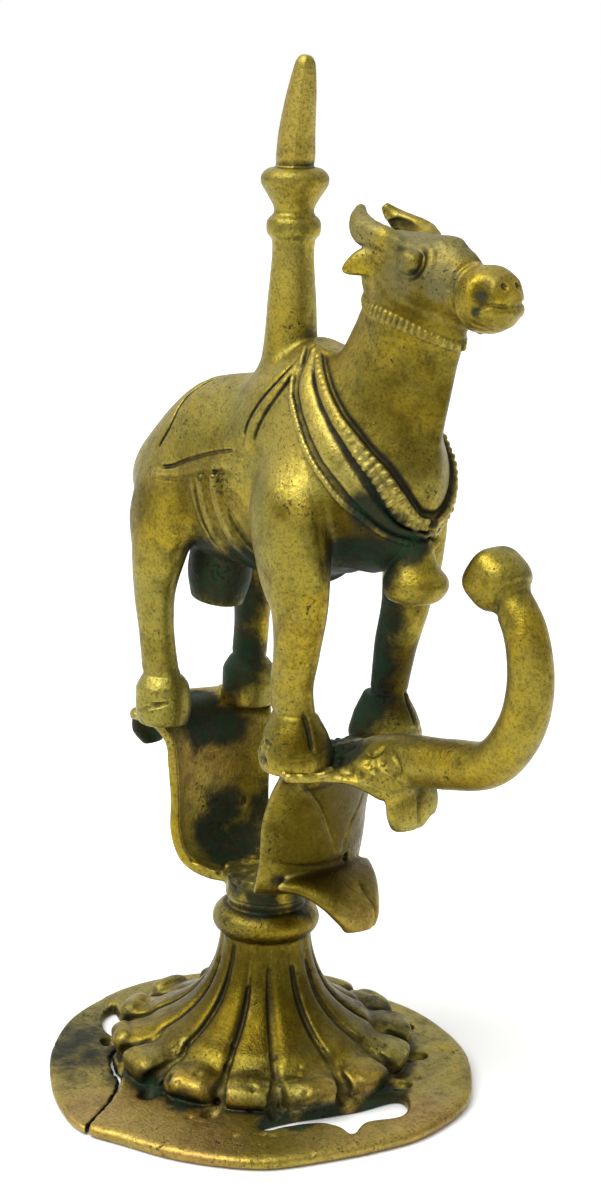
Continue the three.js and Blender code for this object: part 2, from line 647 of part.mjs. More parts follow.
const brass = new THREE.MeshStandardMaterial({ color: 0x8d7a38, roughness: 0.42, metalness: 1 });
const statue = new THREE.Mesh(geometryOf(casting), brass);
statue.name = 'nandi_statue';
statue.position.set(...FOOT_AXIS, 0);

const group = new THREE.Group();
group.add(statue);
export default group;
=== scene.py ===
# A household Nandi: a lost-wax brass bull on the broken lotus cage of its stand.
# The wax is worked in millimetres about the axis of the lotus foot. The bull looks along +X,
# its left side is +Y, and the finished brass is set into the frame in metres.
import math

import bpy
import numpy as np
import openvdb
from mathutils import Matrix, Vector


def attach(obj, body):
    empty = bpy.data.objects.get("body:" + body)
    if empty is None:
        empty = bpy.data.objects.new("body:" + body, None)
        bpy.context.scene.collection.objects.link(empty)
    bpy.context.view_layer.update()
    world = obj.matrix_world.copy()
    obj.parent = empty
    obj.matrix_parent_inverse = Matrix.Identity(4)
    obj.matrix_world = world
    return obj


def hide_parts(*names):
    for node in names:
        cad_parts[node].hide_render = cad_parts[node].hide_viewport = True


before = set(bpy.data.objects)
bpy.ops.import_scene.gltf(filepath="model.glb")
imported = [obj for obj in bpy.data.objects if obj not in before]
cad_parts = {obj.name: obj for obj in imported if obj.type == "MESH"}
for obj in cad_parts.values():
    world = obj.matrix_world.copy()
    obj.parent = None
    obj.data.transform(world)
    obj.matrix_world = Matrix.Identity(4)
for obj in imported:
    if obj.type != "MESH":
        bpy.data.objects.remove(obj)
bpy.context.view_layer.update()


# Millimetres in a metre, and the foot's axis in the frame in mm.
PER_METRE = 1000
FOOT_AXIS = (-14.96, 5.62, 0.0)

# The wax is held as blocks of distances to the skin, one sample every few tenths of a mm. They are true
# within a band about the skin and hold one far value elsewhere.
STAND_GRAIN = 0.38
CAGE_GRAIN = 0.32
BULL_GRAIN = 0.26
BAND = 3.0
FAR = 9.0

# Steps to each point of a run, how far ahead and behind a place its heading is taken, and the gap below
# which two points count as one.
FINE_STEPS = 40
NUDGE = 1e-4
NO_GAP = 1e-4

# The brass is modelled in three pieces that meet in the dark neck of the hub and under the hooves.
HUB_SPLIT = 38.6
MOST_TRIANGLES = 195000

# How far off the skin the brass is felt for the marks of the patina and the painted shade: for lines and for
# hollows.
LINE_REACH = 0.9
HOLLOW_REACH = 2.4

# Slow swells of the hand-rolled wax, as size and height in mm with the seed of each piece.
STAND_SWELLS = (9.0, 0.16, 21)
CAGE_SWELLS = (5.0, 0.16, 31)
BULL_SWELLS = (6.0, 0.13, 41)
# The finer unevenness of the whole skin, as size and height in mm.
FINE_SWELL = 2.2
FINE_RISE = 0.035

# Base plate: a hand-cut disc with a wavy rim, as [degrees, radius] about the foot axis.
PLATE_THICK = 3.0
PLATE_RIM = [
    [0, 48.4], [20, 47.8], [34, 45.6], [50, 43.7], [68, 41.5], [84, 40], [100, 38.2], [120, 39],
    [150, 42.2], [178, 44.3], [205, 45], [228, 45.2], [246, 46.6], [260, 49], [272, 51], [284, 49.4],
    [300, 49.6], [318, 50], [334, 48], [347, 47.8],
]
FRONT_HOLE = [
    [24.8, -24.1], [26, -15.8], [28.4, -10], [31.4, -1.9], [33.8, 7.3], [36.8, 6.8], [41.5, 1],
    [38.9, -7.2], [40.6, -12.4], [36.9, -12.2], [33.1, -14.1], [29.9, -20.7], [28.6, -24.8],
]
BACK_HOLE = [
    [-38, -11], [-34, -12.5], [-29, -14], [-25.5, -17.5], [-27.5, -20], [-32, -18.5], [-36.5, -15],
]
# The rounded edge of the plate, as [how far in from the rim, height] on a plate of the reach given.
PLATE_REACH = 45.0
PLATE_PROFILE = [
    [2.2, 0.0], [1.0, 0.06], [0.35, 0.4], [0.05, 1.0], [0, 1.6], [0.25, 2.2], [0.8, 2.65],
    [1.8, 2.9], [4, 3.0],
]
# The crack that frees a wing of the plate, and the short cracks at the rim, in degrees.
CRACK = [[-23, -19], [-17, -27.6], [-8.8, -31.7], [-3, -38], [3.3, -48.5], [6.6, -56]]
CRACK_WIDTH = 0.7
WING_DROP = 0.8
WING_REACH = [[-60, -60], [-60, -2]]
RIM_CRACKS = [334, 330, 318, 300, 356]
RIM_CRACK_FROM = 44.5
RIM_CRACK_LENGTH = 6.0

# Lotus foot: fourteen petals. Each row is [radius, height, groove depth].
PETALS = 14
PETAL_TURN = -47.5
PETAL_ROWS = [
    [9.4, 32, 0.5], [9.7, 28.5, 0.8], [10.4, 25, 1.0], [11.6, 21.4, 1.15], [13.4, 18, 1.2],
    [16, 15.1, 1.3], [19.4, 12.6, 1.35], [22.8, 10.9, 1.5], [26, 9.4, 2.0], [29, 8.1, 2.8],
    [30.8, 7.2, 3.4], [31.7, 6.2, 3.7], [31.9, 5, 3.8], [31.4, 3.9, 3.6], [30, 3, 3.0], [25, 1, 0.6],
]
PETAL_SHARPNESS = 5
# The bottom of the groove between two petals as [radius, height], and half its width at some radii.
PETAL_GAP = [
    [10.2, 28.6], [10.5, 25], [11.7, 21.4], [13.5, 18], [16.1, 15.1], [19.5, 12.6], [22.9, 10.9],
    [26, 9], [29, 7.4], [31.6, 5.6], [33.6, 3.4],
]
GAP_RADII = [10, 12, 20, 25, 29, 33]
GAP_HALF_WIDTHS = [0.5, 0.62, 0.62, 0.75, 1.2, 1.9]
# The rolled tip of a petal: where it lies, its half sizes outward, across and up, and its droop in radians.
TIP_RADIUS = 29.3
TIP_HEIGHT = 5.4
TIP_SIZES = [2.6, 5, 2.9]
TIP_DROOP = 0.35
TROUGH_RADIUS = 25.4
TROUGH_HEIGHT = 10.7
FOOT_HOLLOW = [[23, -1], [22, 4], [16, 8.5], [11, 13.5], [7.4, 20], [5.2, 26]]

# Neck ring and hub above the foot, as [radius, height] or about the ring's own centre.
RING_CENTRE = 33.2
RING_TUBE = 3.0
RING_RADIUS = 8.3
LOWER_HUB = [[7, 31], [7.4, 35.4], [8.6, HUB_SPLIT]]
UPPER_HUB = [[8.6, HUB_SPLIT - 0.4], [8.4, 41], [9.6, 43.4]]

# Lotus cage: two barrel walls, each [radius, height, half angle].
WALL_THICK = 2.0
REAR_WALL = [
    [6, 41, 46], [12, 41.4, 44], [17.4, 44, 42], [19.8, 49, 40], [20.2, 56, 39], [20.6, 64, 40],
    [21.6, 70, 40], [25, 73.6, 39], [31, 74.2, 34],
]
FRONT_WALL = [
    [6, 42.6, 55], [12, 43.6, 54], [17.4, 46.2, 50], [19, 52, 47], [19.6, 60, 46], [21, 66, 42],
    [24, 71.6, 37], [28, 73.6, 38], [32, 74, 36],
]

# Every loft below is a list of stations [x, y, z, half width, half depth, keel].
FRONT_LIP = [
    [29, 0, 73.4, 11.4, 1.8], [34.6, 0.3, 73.2, 9.4, 2.4], [39.8, 0.9, 70.6, 7, 2.5],
    [41.4, -0.3, 67, 6, 2.4], [41.2, -0.3, 64.4, 4, 1.8],
]
REAR_LIP = [
    [-28, 0, 73.4, 9.6, 1.6], [-33, 0, 72.8, 8, 2], [-37, 0, 70, 6.6, 2.1], [-38.8, 0, 65.4, 5.2, 2.1],
    [-38.4, 0, 62, 2.4, 1.4],
]
LOWER_LIP = [
    [17.2, 0, 47.6, 13, 2.3], [21.4, 0, 47, 10.4, 2.5], [25.2, 0, 44.8, 7.9, 2.5],
    [27.6, 0, 41.6, 5.6, 2.9], [28.2, 0, 38.8, 3.7, 2.4],
]
SPILL = [
    [22, -9, 73.6, 4, 4.6], [22.6, -3, 73.8, 4.6, 3.8], [22.4, 3, 73.6, 4.4, 3.2], [22, 9, 73.4, 4, 4],
]
ARM_ROOT = [
    [26, -3, 75.6, 4.6, 1.8], [32.4, -3.4, 75.8, 4.6, 2.5], [38.4, -3.6, 74.6, 3.6, 3.4],
    [42, -3.4, 72.4, 2.4, 2.6],
]
ARM = [
    [24, 0, 75.5, 2.4, 1.6], [31, 0, 77, 4.4, 3.4], [40, 0, 78, 5.2, 4.9], [52, 0, 79.8, 5, 4.9],
    [62, 0, 82.8, 4.8, 4.5], [68.4, 0, 91, 4.7, 4.5], [70.2, 0, 100, 4.4, 4.4],
    [68.2, 0, 109.4, 4.1, 4.1], [63.4, 0, 116, 3.7, 3.7],
]
BUD_MIDDLE = [60.8, 0, 117.8]
BUD_AIM = [-0.82, 0, 0.57]
BUD_CREASE = [65.4, 0, 114.6]
BUD = [
    [65.2, 0, 114.6, 3.4, 3.4], [63.6, 0, 116, 5.1, 5.3], [61, 0, 117.7, 5.6, 5.6],
    [58.8, 0, 119.2, 4.4, 4.4], [57.4, 0, 120.2, 2, 2],
]
TORSO = [
    [-37, 0, 120.4, 3, 4], [-35.2, 0, 120.8, 8.4, 8], [-28.6, 0, 123.2, 12.2, 12.2],
    [-15, 0, 127, 13.8, 19], [0, 0, 128.8, 13.4, 20.2], [12, 0, 131.6, 14, 23.4],
    [22, 0, 131.2, 14.6, 22.4], [32.6, 0, 126.6, 12.4, 17], [38.6, 0, 122, 6.4, 9.4],
    [41, 0, 120.4, 3, 4.6],
]
HUMP = [[8, 0, 146, 4, 4], [12.6, 0, 151.6, 5, 5], [14.6, 0, 155.2, 3.6, 3.4]]
NECK = [
    [20, 0, 119, 9, 11, 0.4], [26.6, 0, 130, 12, 16, 0.5], [31.2, 0, 145, 10, 14.3, 0.5],
    [35.8, 0, 157.6, 8, 12.4, 0.4], [39.2, 0, 167, 7, 11.6, 0.2],
]
HEAD = [
    [26.5, 0, 173, 3, 4], [29, 0, 172.4, 6, 6.8], [35, 0, 171.2, 7.2, 7.8], [42, 0, 170.4, 7.1, 8.4],
    [47.2, 0, 169.6, 5.9, 7.8], [52, 0, 168.2, 4.6, 5], [54, 0, 168, 4, 4.2],
]
MUZZLE = [
    [51.6, 0, 168.4, 4.2, 4.4], [53, 0, 168.4, 5.6, 5.8], [56.4, 0, 168.3, 6.1, 6.2],
    [60, 0, 168.2, 4.8, 5], [61.6, 0, 168.2, 2.2, 2.4],
]
HORN = [
    [37.6, 3.2, 175.4, 2.6, 2.4], [34, 5.4, 177.4, 3, 2.5], [29.6, 6, 178.8, 2.8, 2.5],
    [26.6, 4.6, 180.8, 2, 1.9], [25.2, 3, 183, 0.8, 0.8],
]
EAR = [
    [33.6, 5, 173.6, 3, 1.7], [30.6, 7.6, 173, 2.6, 1.5], [28.4, 9.4, 171.8, 1.2, 1],
    [27.8, 9.9, 171.4, 0.5, 0.5],
]
LEFT_FORELEG = [
    [20, 9, 136, 4, 6], [23, 14.4, 125, 5.8, 9], [24, 15.4, 114, 4.9, 7.4],
    [23.6, 14.6, 104, 4.3, 5.4], [22, 13.8, 95, 4, 4.6], [21.4, 12.8, 85, 3.6, 4],
    [21, 12.4, 80, 4, 4.4],
]
RIGHT_FORELEG = [
    [17, -9, 136, 4, 6], [18.8, -13.4, 126, 5.8, 9.8], [22, -14.6, 114, 5.2, 8.8],
    [23.6, -14.6, 107, 4.6, 6.6], [22.6, -14, 99, 4.1, 5.2], [20.4, -13, 90, 3.8, 4.6],
    [21.2, -12.4, 80, 4.2, 4.8],
]
RIGHT_HIND_LEG = [
    [-17.6, -7.5, 126, 5, 8], [-21.6, -10.6, 118, 5.4, 9.6], [-22.8, -11.8, 109, 4.6, 6.8],
    [-23.4, -12.2, 101, 3.9, 5], [-22.4, -12.2, 91, 3.4, 4.1], [-20.9, -12, 82, 3.6, 4],
]
LEFT_HIND_LEG = [
    [-16.6, 7.5, 126, 5, 8], [-20, 11, 118, 5.4, 9.4], [-20.8, 12.6, 109, 4.6, 6.6],
    [-20.8, 13, 101, 4, 5], [-20.8, 12.8, 91, 3.5, 4.2], [-20.6, 12, 82, 3.6, 4],
]
FORE_HOOF = [
    [20.8, 12.4, 85, 4, 4.6], [21, 12.4, 80.6, 6.4, 6.6], [21.2, 12.4, 76.6, 7.4, 7.8],
    [21.2, 12.4, 73.6, 6.6, 7],
]
HIND_HOOF = [
    [-20.8, 12, 84, 3.6, 4], [-20.6, 12, 81, 5.4, 5.8], [-20.2, 12, 76.6, 5.8, 5.9],
    [-20.2, 12, 73.4, 5.2, 5.2],
]
SHEATH = [[-15.4, 0, 112, 5.6, 7.6], [-16.8, 0, 105, 6, 7.6], [-17.6, 0, 98.8, 5, 6.2]]
TAIL = [
    [-34, 0, 131, 1.8, 1.6], [-37, 0, 125, 1.8, 1.6], [-36.6, 0, 114, 1.7, 1.6],
    [-35.2, 0, 106, 2.3, 2], [-34.8, 0, 101, 0.9, 0.9],
]
# Forms of the body in the order that they are joined, each with the fillet against the rest.
BODY = [
    (TORSO, 0.6), (NECK, 3.0), (HUMP, 3.0), (LEFT_FORELEG, 2.6), (RIGHT_FORELEG, 2.6), (LEFT_HIND_LEG, 2.6),
    (RIGHT_HIND_LEG, 2.6), (SHEATH, 1.6), (TAIL, 1.0),
]
BELL_X = 39.8
BELL = [
    [2.6, 109.2], [5, 110], [6, 112], [5.9, 113.8], [4.8, 116], [3.8, 118.4], [3.4, 121.4],
]
BELL_FULLNESS = [40.4, 1, 112.9]
GARLAND_ENDS = [[41.2, -2.4, 121.4], [42.6, 2.2, 121.4]]
BELL_CREASE = [[44.4, -3.4, 113.7], [45.6, -0.6, 113.5], [45.4, 2, 113.5]]
STEM_X = 3.5
STEM = [
    [8.4, 143], [6.6, 149], [5.7, 153], [4.9, 163], [4.3, 175], [5.2, 176.2], [5.2, 178.8], [4, 180.2],
    [4.1, 181.4], [5.6, 184], [6.7, 186], [6.5, 187.6], [5, 188.8], [3, 188.9],
]
SPIKE = [
    [188.4, 3.6, -0.4], [191, 3.9, -0.1], [195, 3.7, 0.1], [203, 3, 1.3], [208.8, 2, 2.2],
    [210, 1.1, 2.4],
]

# Relief on the bull's right side, mirrored to the left. Every path is settled on to the skin.
# A fourth number is half the width of a band there.
ROPE = [
    [12.8, -3.4, 153.8, 0.5], [13.5, -5.1, 152.7, 0.55], [14.5, -8.7, 149.5, 0.6], [16.4, -10.7, 146.2, 0.6],
    [20.6, -12.7, 141.5, 0.62], [24.6, -13.4, 136.8, 0.7], [28.8, -13.6, 132.7, 0.8],
    [32.1, -12.3, 129.4, 0.9], [35.7, -10.5, 126.6, 0.9], [38, -7.6, 123.9, 0.85], [40, -4, 122.4, 0.7],
    [41.4, 0, 121.8, 0.6],
]
SASH = [
    [14.8, -3.4, 154, 0.9], [16.2, -5.3, 152.5, 1.3], [18.6, -9, 148.9, 1.9], [22.2, -11.2, 145.2, 2.2],
    [26.1, -12.1, 141.2, 2.4], [29.6, -12.4, 137.5, 2.4], [33.2, -12, 133.9, 2.2], [36.2, -10.8, 130.4, 1.9],
    [38.4, -8.9, 127.4, 1.5], [40.4, -5.4, 124.6, 1.1], [42.2, 0, 123.6, 0.8],
]
CHAIN = [
    [16.5, -4.2, 153.1, 0.7], [20.8, -7.5, 150.7, 1], [24.6, -9.1, 147.5, 1.2], [28.6, -9.9, 143.9, 1.3],
    [32.8, -10.6, 140.4, 1.5], [35.9, -9.8, 137.1, 1.7], [38.4, -8.9, 134.7, 1.9], [40.5, -7.5, 131.2, 2.1],
    [41.6, -5.4, 128, 2], [42.2, -3, 126, 1.5], [42.8, 0, 125.4, 1.1],
]
COLLAR = [
    [27.6, 0, 166.4, 1.2], [28.2, -3, 165.8, 1.2], [30.1, -5.6, 164.8, 1.2], [35.1, -7.1, 164.2, 1.25],
    [39.4, -6.8, 163, 1.25], [42.4, -5.8, 162, 1.2], [44.8, -4.8, 161, 1.1], [48, -2.4, 159.6, 1],
    [49.2, 0, 159, 1],
]
CLOTH_REAR = [[-14.6, -1, 145.4], [-16.6, -4.6, 144.2], [-19.2, -7.7, 141.9], [-19.9, -11.4, 135.9],
              [-23.1, -12.4, 129.7]]
CLOTH_EDGE = [[-21.8, -13, 127.7], [-17, -13.4, 128.4], [-12, -13.4, 130.4], [-4.7, -13.1, 132.9],
              [3.4, -13.2, 134.8]]
CLOTH_BAND = [[-21.6, -13.4, 126.6, 0.7], [-15.4, -13.6, 127.5, 0.9], [-7, -13.4, 130, 1.1],
              [0, -13.2, 131.6, 1.2], [4.6, -13.2, 132.4, 1]]
CLOTH_HEM = [[-21.6, -13.6, 125.2], [-11.9, -13.4, 126.4]]
CLOTH_HEM_FRONT = [[-4.4, -13.3, 129.2], [2.3, -13.2, 129.7]]
STRAP = [[13.4, -5.9, 152.2, 0.7], [11.8, -9.1, 148.6, 0.9], [8.1, -11.5, 143, 1.1], [6.4, -12.4, 139, 1.1],
         [6.2, -13.1, 135.8, 0.9]]
STRAP_BORDERS = [
    [[12.4, -5.7, 152.5], [10.5, -8.8, 149], [6.7, -11, 143.8], [4.7, -12, 139.9], [4.5, -12.9, 136]],
    [[14.4, -6.2, 152], [13, -9.5, 148.2], [9.5, -12, 142.1], [8, -12.8, 138.1], [7.8, -13.3, 135.7]],
]
GIRTH_REAR = [[-10.3, -13.4, 127.2], [-9.7, -13.1, 122.8], [-8.9, -11.5, 117.6], [-7.8, -8.6, 113.3],
              [-6.8, -5.6, 110.6], [-6, 0, 108.6]]
GIRTH_BACK_BAND = [[-7.8, -13.4, 127.4, 0.9], [-7.2, -13.2, 123.5, 1], [-6.6, -11.8, 118.6, 1],
                   [-5.6, -9, 113.8, 0.95], [-4.2, -5, 110.3, 0.8], [-3, 0, 108.6, 0.8]]
GIRTH_FRONT_BAND = [[-3.7, -13.3, 128.2, 0.9], [-2.9, -13, 123.5, 1.05], [-1.8, -11.7, 118.7, 1.1],
                    [0.2, -8.8, 113.8, 1], [2.6, -5, 110.6, 0.8], [4, 0, 108.6, 0.8]]
GIRTH_GAP = [[-0.4, -12.9, 122.4], [1.4, -11.5, 118.4], [3.2, -9.6, 115.2], [5, -7.8, 112.8]]
FORELEG_CREASE = [[23.6, -13.8, 135.7], [28.7, -15.4, 124.4], [30, -14.8, 115], [29.4, -14.6, 108]]
SHOULDER_CREASE = [[9.4, -13.4, 130], [10.6, -13.2, 122], [12.6, -12.6, 114]]
HAUNCH_CREASE = [[-13.4, -13, 119.6], [-14.6, -12.6, 113.4], [-17, -13, 108.6]]
MUZZLE_RIM = [[52.6, 0, 174.2], [52.2, -2.6, 173.2], [52, -4.6, 170.6], [52.6, -5.2, 167.6],
              [53.4, -3.6, 164], [54, 0, 162.8]]
MOUTH = [[57.6, -5.6, 166.4], [58.6, -5.2, 167.3], [60, -4.3, 167.9], [61.3, -2.4, 167.6],
         [61.6, -0.6, 167.7]]
LOWER_LIP_EDGE = [[57.6, -5.4, 165.6], [59.2, -4.9, 166.2], [60.8, -2.8, 166.2], [61.6, 0, 166.3]]
CHIN_CREASE = [[55.4, -5.4, 164.4], [57.6, -4.4, 163.4], [59.4, -1.8, 162.9], [59.8, 0, 162.8]]
JAW = [[47, -5.4, 165.6], [42.6, -6.6, 165.8], [37.6, -7, 167.4], [34.4, -7, 170]]
NOSTRIL = [60.9, -1.7, 171.1]
MUZZLE_HOLLOW = [58.3, -5, 170.4]
EYE = [41.8, -7.4, 174.3]
EYE_SIZES = [2.55, 2.55, 2.4]
SOCKET_RADIUS = 4.4
LID_RADIUS = 3.0
BROW = [[38, -5.4, 177.4], [41.6, -5.6, 177.6], [45, -4.4, 176.6]]
FOREHEAD = [45.4, 0, 177.4]
HORN_HOLLOW = [29.6, 3.6, 179.6]
EAR_CREASE = [[33.4, -6.6, 175], [33.2, -7.2, 173.4], [33.4, -7.2, 171.6]]
HOOF_WEDGE = [[24.7, -13.9, 86.2], [25.8, -13.7, 83.3], [27, -14, 80.6], [27.8, -14.1, 78.6]]
HOOF_SOLE = [[25.3, -17.9, 77.9], [27, -16.6, 78], [27.8, -14.2, 78.1], [27.8, -11.2, 78.9]]
HIND_SLITS = [
    [[-21.6, -17.6, 76.6], [-18.3, -17.2, 77.8], [-15.9, -15.6, 78.4]],
    [[-18.6, -17.4, 78.5], [-16.8, -16.2, 78.7], [-15.3, -13.9, 78.9]],
]

# Chased lines in the order of the work: path, half width, depth and, where it isn't crisp, the softness.
FACE_LINES = [(MOUTH, 0.42, 0.5), (CHIN_CREASE, 0.5, 0.2), (JAW, 0.6, 0.2)]
CLOTH_LINES = [
    (CLOTH_REAR, 0.42, 0.75), (CLOTH_EDGE, 0.42, 0.6, 0.2), (CLOTH_HEM, 0.4, 0.45, 0.2),
    (CLOTH_HEM_FRONT, 0.4, 0.45, 0.2),
]
BODY_CREASES = [
    (GIRTH_GAP, 0.9, 0.9, 0.3), (FORELEG_CREASE, 0.8, 0.16, 0.5), (SHOULDER_CREASE, 1.0, 0.3, 0.8),
    (HAUNCH_CREASE, 1.0, 0.25, 0.8),
]
HOOF_LINES = [
    (HOOF_WEDGE, 0.5, 0.7), (HOOF_SOLE, 0.36, 0.35), (HIND_SLITS[0], 0.42, 0.5), (HIND_SLITS[1], 0.42, 0.5),
]

# Flat bands of the cloth and girth, each with its height over the skin.
BANDS = [(STRAP, 0.35), (CLOTH_BAND, 0.45), (GIRTH_BACK_BAND, 0.75), (GIRTH_FRONT_BAND, 0.85)]

# The crease round each ankle: x, y, height and radius.
ANKLES = [(21.2, -12.4, 85.4, 4.0), (21.2, 12.4, 85.4, 3.6), (-20.2, -12, 83.8, 3.6), (-20.2, 12, 83.8, 3.6)]

# Chased work on the cage, which isn't mirrored.
FRONT_V = [
    [[22.8, -13.4, 71.4], [21.4, -9.8, 69], [20.8, -5.8, 64.9], [20.4, -3.6, 61.8], [20.1, -1.2, 56.9],
     [19.8, 0.6, 52.9]],
    [[21.6, 9.6, 68.4], [20, 8.6, 64.8], [19.3, 6.9, 61], [19.6, 4.3, 57.7], [19.5, 2.6, 52.7]],
]
WALL_BELT = [[14, -14.2, 52.5], [16.7, -10.7, 51.8], [18.4, -6.3, 50.9], [19.2, -0.6, 50.1],
             [17.1, 7.6, 49]]
LIP_SLITS = [
    [[41.4, 1, 71.4], [43.2, 0, 68.3], [42.6, 0.4, 64.8]],
    [[24.4, 2.5, 47.5], [27.2, 2.3, 45.3], [28.9, 2.6, 42.2], [29.4, 1.5, 39]],
    [[-37.4, -0.6, 72], [-39.8, -0.4, 69], [-40.6, 0, 65]],
]
ROOT_CRACKS = [
    [[27.2, -8, 77], [28.2, -6, 77.4], [29.3, -3.6, 77.9]],
    [[33.9, -4.3, 76], [36.2, -4.9, 78.4], [38.2, -3.8, 81]],
    [[41.1, -4.1, 75.1], [42.8, -5, 77.8], [40.4, -4.5, 80.1]],
]
CAGE_LINES = [
    (FRONT_V[0], 0.45, 0.5), (FRONT_V[1], 0.4, 0.45), (WALL_BELT, 0.8, 0.2),
    *((slit, 0.55, 0.6) for slit in LIP_SLITS), *((crack, 0.5, 0.5) for crack in ROOT_CRACKS),
]
WALL_HOLE = [-17.1, 8.4, 52]
HUB_NOTCHES = [[2.3, -9.4, 43.8], [-5.9, -7.7, 43.8], [3, 9.2, 43.8]]
# Where the hooves stand on the ledge of the cage: x, y and radius.
HOOF_AT = [(21.2, -12.4, 7.4), (21.2, 12.4, 7.4), (-20.2, -12, 5.8), (-20.2, 12, 5.8)]
LEDGE = 74.4
PETAL_PITS = [[20.9, -21.4, 7.7], [21.7, -18.6, 8.0], [5, -30, 7], [29, -8, 7.4]]


# Where the finish has gone its own way, and where shade and highlights are painted, as soft-edged spots: x,
# y, z, radius in mm, and strength.
# Verdigris in part, and the rest is painted shade: dark spots under the belly, on the far legs, round the hub
# and on the inner walls of the plate's holes.
VERDIGRIS_AND_PAINTED_SHADE = [
    [0, 0, 108, 19, 1], [13, 0, 107, 17, 1], [27, -3, 109, 15, 1], [34, -6, 117, 11, 0.95],
    [36, 6, 116, 11, 0.9], [-16, 0, 106, 15, 1], [-14, -6, 113, 10, 0.9], [20, 9, 102, 11, 1],
    [19, 8, 92, 11, 1], [19, 8, 82, 11, 1], [20, -8, 96, 7, 0.8], [-22, 8, 97, 12, 1],
    [-21, 7, 84, 13, 1], [-24, -2, 75, 10, 0.9], [-16, -4, 74, 10, 0.9], [28, -6, 78, 8, 0.9],
    [20, 0, 77, 10, 1], [33, -4, 74, 7, 0.8], [41, -4, 121, 7, 1], [38, 8, 74, 9, 0.8],
    [-16, 14, 50, 11, 0.7], [12, 24, 6, 15, 0.5], [-30, 6, 5, 14, 0.6], [0, -31, 3, 7, 0.8],
    [10, -31, 3, 6, 0.7], [-10, -30, 3, 7, 0.7], [30, -18, 3, 7, 0.9], [32, 6, 3, 8, 0.8],
    [-37, 0, 68, 11, 1], [-30, -30, 2, 24, 0.62], [30, -10, -1, 9, 1], [33, 2, -1, 9, 1],
    [27, -20, -1, 9, 1], [-18.5, 4.1, 51.4, 9, 0.75], [-17.5, -0.5, 46.2, 9, 0.8],
    [-14.8, 5.9, 44.4, 9, 0.8], [-12.6, -0.8, 42.7, 8, 0.9], [-20, 5, 69.4, 8, 0.9],
    [-20.6, -1.5, 70.1, 8, 0.9], [-24.6, 1.8, 74.5, 8, 0.9], [5, -6, 38.4, 7, 0.7],
    [8, 2.4, 39, 7, 0.7], [0, -9, 42.6, 6, 0.6],
    [5.6, -5.4, 171, 2, 1], [37, -10, 128, 7, 0.8], [40, -7, 126, 5, 0.9], [38, -9, 132, 5, 0.7],
    [31, -9, 117, 9, 0.9], [58.6, -5.2, 169, 2.6, 0.55], [57.8, -5.6, 166.4, 1.8, 0.7],
    [43.8, -7.4, 172.2, 1.8, 0.8],
]
# A dark film in part, and the rest is painted shade: darker spots on the shaded front of the neck, the chest,
# the lower flanks and the far foreleg.
FILM_AND_PAINTED_SHADE = [
    [43, -4, 147, 24, 0.62], [36, -2, 160, 14, 0.4], [0, 0, 10, 44, 0.85], [59, 0, 118, 10, 0.6],
    [0, 0, 34, 14, 0.6], [-18, 0, 58, 26, 0.35], [20, 0, 58, 26, 1], [32, -8, 124, 15, 1],
    [4, -12, 113, 15, 0.6], [38, 10, 150, 18, 0.8], [21.2, -15.7, 133, 3.6, 0.6],
    [22.3, -18.4, 126.1, 3.6, 0.6], [36, -7.9, 148.2, 3.4, 0.5], [42, 0, 168, 18, 0.8], [24, 14, 88, 15, 1],
    [24, -14, 80, 9, 0.9], [-26, -28, 3, 26, 0.5], [62, 0, 114, 16, 0.4], [-8, -12, 124, 17, 0.6],
    [-26, -12, 118, 15, 0.5],
    [5.6, -5.6, 173, 2, 1], [58.3, -5, 170, 3.6, 1], [40, 0, 113, 8, 0.5],
]
LEAD = [
    [48.5, -5.5, 171.4, 6, 1], [46, 0, 177, 10, 0.8], [40, -2, 177.6, 11, 0.8], [30, -6, 179, 9, 0.8],
    [26, -4, 182, 7, 0.8], [40, -7, 172, 8, 0.6], [59, -2, 172.6, 5, 0.4],
]
# Rubbed brass in part, and the rest is painted highlight: paler spots on the lit side, at the spike, the near
# shoulder, the rump and the right front of the plate.
RUBBED_AND_PAINTED_HIGHLIGHT = [
    [0, 0, 202, 24, 0.7], [2, 0, 168, 18, 0.5], [-20, -4, 138, 16, 0.4], [20, -14, 138, 16, 0.8],
    [28, 0, 43, 10, 0.4], [50, -20, 2, 36, 0.6], [-21, -14, 79, 9, 0.5], [43, 0, 69, 10, 0.6],
    [12, -44, 3, 22, 0.5], [33, -6, 184, 8, 0.6], [8, -10, 142, 14, 0.4],
]
TAN = [
    [14, -48, -12, 42, 1], [48, -6, 2, 34, 0.7], [0, 0, 200, 24, 0.4], [-20, 0, 66, 22, 0.5],
    [28, 0, 42, 12, 0.5],
]
STAINS = {"verdigris_and_shade": VERDIGRIS_AND_PAINTED_SHADE, "film_and_shade": FILM_AND_PAINTED_SHADE, "lead": LEAD, "rubbed_and_highlight": RUBBED_AND_PAINTED_HIGHLIGHT, "tan": TAN}

# Patterns of the skin: the size of a mark in mm, then detail, roughness and twist of the noise. Sand in the
# cast skin is 0.1 to 0.3 mm and is drawn as coarse as the picture can show.
PATTERNS = {
    "patches": [24, 4, 0.6, 0],
    "crowd": [11, 4, 0.65, 0],
    "oil": [9, 5, 0.62, 0.8],
    "clouds": [4.2, 6, 0.68, 0.4],
    "flats": [2.6, 2, 0.5, 0],
    "bloom": [2.4, 5, 0.65, 0],
    "wear": [2.2, 4, 0.6, 0],
    "pits": [0.8, 3, 0.6, 0.3],
    "speck": [0.7, 4, 0.75, 0],
    "sand": [0.55, 3, 0.65, 0],
}
ALLOY = "#a08a28"
